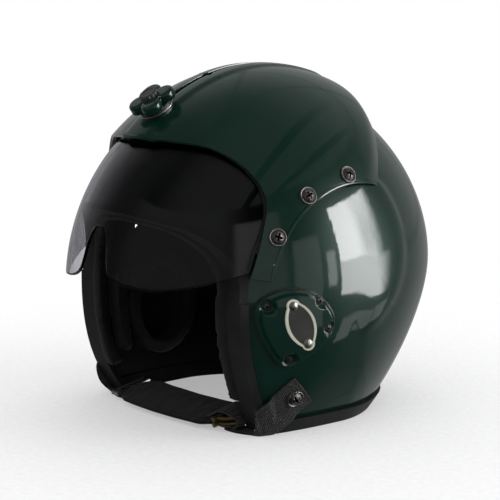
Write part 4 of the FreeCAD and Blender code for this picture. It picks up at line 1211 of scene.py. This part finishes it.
SLEEVE_END, SLEEVE_HALF, STRAP_LEAN = 50.5, 18.0, 11.0
STRAP_MIDDLE = Vector((0, -74, -82))
TAB_LEAN, TAB_HALF, TAB_BEHIND = 44.0, 13.0, 8.0


def strap_place(x, across, out):
    """Point on the bowed chin strap: along X, across from its middle line, and out from its face."""
    turn = math.radians(STRAP_LEAN)
    bow = 1 - (x / 55.5) ** 2
    foot = Vector((x, -88.0 - 4.0 * bow, GROUND + 4.6 - 0.4 * bow))
    up = Vector((0, math.cos(turn), math.sin(turn)))
    face = Vector((0, -math.sin(turn), math.cos(turn)))
    return foot + up * (SLEEVE_HALF + across) + face * out


def ripple(x, y, z, size, depth):
    """Soft folds: ridged noise, never outwards by more than a third of its depth."""
    value = noise.noise(Vector((x, y, z)) / size)
    return depth * (0.33 - abs(value) * 1.9)


def make_sleeve():
    """Padded sleeve: crowned between two sewn edges, with folds gathered at both ends."""
    columns, rows = 132, 171
    rings, uvs = [], []
    for i in range(rows):
        x = SLEEVE_END * (2 * i / (rows - 1) - 1)
        to_end = SLEEVE_END - abs(x)
        full = smooth(to_end, 0.0, 9.0)
        width = SLEEVE_HALF * (0.86 + 0.14 * full)
        wall = 2.4 * (0.62 + 0.38 * full)
        gather = 1.0 - 0.75 * smooth(to_end, 2.0, 16.0)
        ring = []
        for t in turns(columns):
            u = math.copysign(abs(math.cos(t)) ** 0.75, math.cos(t))
            v = math.copysign(abs(math.sin(t)) ** 0.62, math.sin(t))
            side = math.copysign(1, v)
            folds = ripple(x * 0.8, u * 14, 3 * side, 11.0, 0.3 + 0.9 * gather)
            folds += 0.3 * noise.noise(Vector((x * 0.22, u * 1.2, v))) * (0.25 + gather)
            seam = dent(abs(u), 0.84, 0.035) + dent(abs(x), 46.5, 0.6)
            out = v * (wall + 1.2 * (1 - u * u))
            out += side * (1 - abs(u) ** 6) * (folds - 0.55 * min(1.0, seam))
            if v > 0:
                out += 0.45 * smooth(u, 0.28, 0.34)
            sway = 0.5 * noise.noise(Vector((x * 0.05, 4.0, math.copysign(2, u))))
            ring.append(strap_place(x, u * width + sway, out))
            uvs.append((x, side * u * SLEEVE_HALF))
        rings.append(ring)
    cap = SLEEVE_END - 1.5
    points, faces = rings_mesh(rings, tip=strap_place(cap, 0, 0), foot=strap_place(-cap, 0, 0))
    uvs += [(cap, 0), (-cap, 0)]
    piece = make_mesh("sleeve_cloth", points, faces, uvs, CLOTH, middle=STRAP_MIDDLE)
    finish_piece(piece, "chin_strap", "strap_sleeve", slot="black_cloth")


def ribbon(route, place, low, high, wall, shake, seed):
    """Flat webbing along a route, given as place(route point, across), as a closed strip."""
    rows, columns = len(route), 27
    across = [low + (high - low) * k / (columns - 1) for k in range(columns)]
    middle = [[place(r, u) for u in across] for r in route]
    top, bottom, uvs = [], [], []
    length = 0.0
    for i, row in enumerate(middle):
        before, after = middle[max(i - 1, 0)], middle[min(i + 1, rows - 1)]
        if i:
            length += (row[columns // 2] - before[columns // 2]).length
        for k, p in enumerate(row):
            b = row[min(k + 1, columns - 1)] - row[max(k - 1, 0)]
            n = (after[k] - before[k]).cross(b).normalized()
            wave = shake * noise.noise(Vector((i * 0.16 + seed, across[k] * 0.12, seed)))
            edge = wall / 2 * (0.55 if k in (0, columns - 1) else 1.0)
            top.append(p + n * (wave + edge))
            bottom.append(p + n * (wave - edge))
            uvs.append((length, across[k]))
    count = len(top)
    faces = grid_faces(rows, columns)
    faces += [tuple(i + count for i in reversed(f)) for f in faces]
    rim = list(range(columns)) + [i * columns + columns - 1 for i in range(1, rows)]
    rim += [(rows - 1) * columns + k for k in range(columns - 2, -1, -1)]
    rim += [i * columns for i in range(rows - 2, 0, -1)]
    for a, b in zip(rim, rim[1:] + rim[:1]):
        faces.append((b, a, a + count, b + count))
    return top + bottom, faces, uvs + uvs


def strap_ribbon(route, half, wall, shake, seed, count):
    """Webbing of the chin strap, through (along, out) pairs."""
    path = curve_through(route, count)
    return ribbon(path, lambda r, u: strap_place(r.x, u, r.y), -half, half, wall, shake, seed)


def make_webbing():
    near = [
        (41.0, 1.2), (47.0, 4.0), (52.0, 6.8), (58.0, 7.6), (64.0, 6.4), (68.6, 4.2), (70.2, 1.2),
        (68.6, -1.6), (64.0, -2.8), (57.0, -3.3), (50.0, -2.6), (44.0, -1.1),
    ]
    far = [
        (-42.0, 0.2), (-49.0, -1.2), (-55.0, -2.3), (-57.6, -1.7), (-57.9, 0.0), (-58.3, 1.8), (-59.5, 2.5),
        (-60.7, 1.8), (-61.1, 0.0), (-61.0, -2.0), (-58.5, -3.8), (-53.0, -3.9), (-46.0, -2.4),
    ]
    one = strap_ribbon(near, 10.5, 1.5, 0.9, 3.0, 110)
    two = strap_ribbon(far, 12.0, 1.1, 0.4, 9.0, 90)
    points, faces = joined([one[:2], two[:2]])
    piece = make_mesh("webbing_straps", points, faces, one[2] + two[2], WEBBING, middle=STRAP_MIDDLE)
    finish_piece(piece, "chin_strap", "strap_webbing", slot="black_webbing")


def tab_line(along, across):
    """Side-view place on a strap tab: along it from its screw, and across."""
    lean = math.radians(TAB_LEAN)
    way = Vector((-math.cos(lean), -math.sin(lean)))
    side = Vector((-math.sin(lean), math.cos(lean)))
    return STRAP_SCREW + side * across + way * along


def tab_over(p):
    """Middle of the tab over the shell: higher where it lies on the edge trims."""
    to_edge = min(p.x - face_line(p.y), (p.y - NECK_Z) * 0.9)
    return SHELL.over(p.x, p.y, 1.25 + 2.5 * smooth(to_edge, 12.0, 7.0))


def tab_reach(across):
    """Distance along the tab at which it reaches the rim."""
    along = 0.0
    while along < 60.0:
        p = tab_line(along, across)
        if p.y < NECK_Z + 0.6 or p.x < face_line(p.y) - 2.2:
            break
        along += 0.25
    return along


def tab_place(r, across):
    """Point of the tab: over the shell up to r = 1, then round the rim and under it to r = 2."""
    end = tab_reach(across)
    if r <= 1.0:
        along = -TAB_BEHIND + (end + TAB_BEHIND) * r
        q = tab_over(tab_line(along, across))
        return q + SHELL.normal(q) * 0.5 * dent(along, -TAB_BEHIND, 1.2)
    start = tab_over(tab_line(end, across))
    y = -71.5 + across * 8.0 / TAB_HALF
    one = Vector((start.x - 1.0, start.y - 0.5, GROUND + 0.6))
    two = Vector((79.5, y, GROUND + 0.4))
    three = Vector((58.0, y, GROUND + 1.6))
    t = r - 1.0
    a = start.lerp(one, t)
    b = one.lerp(two, t)
    c = two.lerp(three, t)
    return a.lerp(b, t).lerp(b.lerp(c, t), t)


def make_tabs():
    route = [i / 46 for i in range(47)] + [1 + i / 26 for i in range(1, 27)]
    points, faces, uvs = ribbon(route, tab_place, -TAB_HALF, TAB_HALF, 1.7, 0.25, 5.0)
    for name, sign in (("left", 1), ("right", -1)):
        spots = [Vector((p.x * sign, p.y, p.z)) for p in points]
        piece = make_mesh("tab_" + name + "_webbing", spots, faces, uvs, WEBBING)
        finish_piece(piece, "helmet", "strap_tab_" + name, slot="black_webbing")


# Lining and padded rolls

def soft_copy(name, size, relax, shape):
    """Closed sewn form over a lining solid: remeshed, relaxed, crowned and creased by shape(p, n)."""
    source = nodes[name]
    piece = bpy.data.objects.new(name + "_sewn", source.data.copy())
    piece.data.transform(source.matrix_world)
    piece.data.materials.clear()
    bpy.context.scene.collection.objects.link(piece)
    modifier(piece, "REMESH", mode="VOXEL", voxel_size=size * MM, use_smooth_shade=True)
    modifier(piece, "SMOOTH", iterations=relax, factor=0.5)
    apply_all(piece)
    spots = [(v, v.co / MM - HOME, v.normal.copy()) for v in piece.data.vertices]
    for v, p, n in spots:
        v.co += n * shape(p, n) * MM
    piece.data.update()
    return piece


# Depth in millimetres for one unit of the form's level.
LEVEL_DEPTH = 128.0


def layer_seam(p, n, depth, width):
    """1 on the seam that runs round a lining piece at a depth under the shell's outer face."""
    side_on = 1 - abs(n.dot(SHELL.normal(p)))
    return dent((1 - SHELL.level(p)) * LEVEL_DEPTH, depth, width) * side_on


def pad_shape(depth, crown, channels):
    """Swelling of a pad, with its seam at mid wall and a channel at each (axis, distance)."""
    def shape(p, n):
        value = crown + 0.5 * noise.noise(p * 0.045) + ripple(*p, 14.0, 0.6)
        value -= 1.3 * layer_seam(p, n, depth, 1.1)
        return value - sum(1.6 * dent(abs(p[axis]), where, 1.6) for axis, where in channels)
    return shape


def roll_shape(p, n):
    """Edge roll: a tight leather roll with a seam where it meets the liner."""
    return 0.35 + 0.15 * noise.noise(p * 0.04) - 0.5 * layer_seam(p, n, 6.5, 0.7)


def ring_shape(p, n):
    """Ear seal: a tight ring with a seam round its outer side."""
    seam = dent(abs(p.x), 74.0, 0.9) * (1 - abs(n.x))
    return 0.9 + 0.35 * noise.noise(p * 0.12) + ripple(*p, 7.0, 0.35) - 0.9 * seam


def make_lining():
    for name, size, relax, fill, shape in (
        ("edge_roll", 1.3, 16, 0.85, roll_shape),
        ("brow_pad", 1.7, 9, 0.6, pad_shape(24.0, 1.0, [(0, 22.0)])),
        ("crown_pad", 2.0, 9, 0.6, pad_shape(24.0, 1.1, [(0, 0.0), (0, 34.0)])),
        ("nape_pad", 1.8, 9, 0.6, pad_shape(28.0, 1.1, [(0, 0.0)])),
        ("cheek_pad_left", 1.7, 9, 0.6, pad_shape(24.0, 1.1, [(2, -25.0)])),
        ("cheek_pad_right", 1.7, 9, 0.6, pad_shape(24.0, 1.1, [(2, -25.0)])),
        ("ear_seal_left", 1.4, 7, 0.8, ring_shape),
        ("ear_seal_right", 1.4, 7, 0.8, ring_shape),
    ):
        piece = soft_copy(name, size, relax, shape)
        piece.data.materials.append(LEATHER)
        finish_piece(piece, "helmet", name, slot="black_leather")


make_shell()
make_housing()
make_lens()
make_screws()
make_ear_covers()
make_knob()
make_sleeve()
make_webbing()
make_tabs()
make_lining()
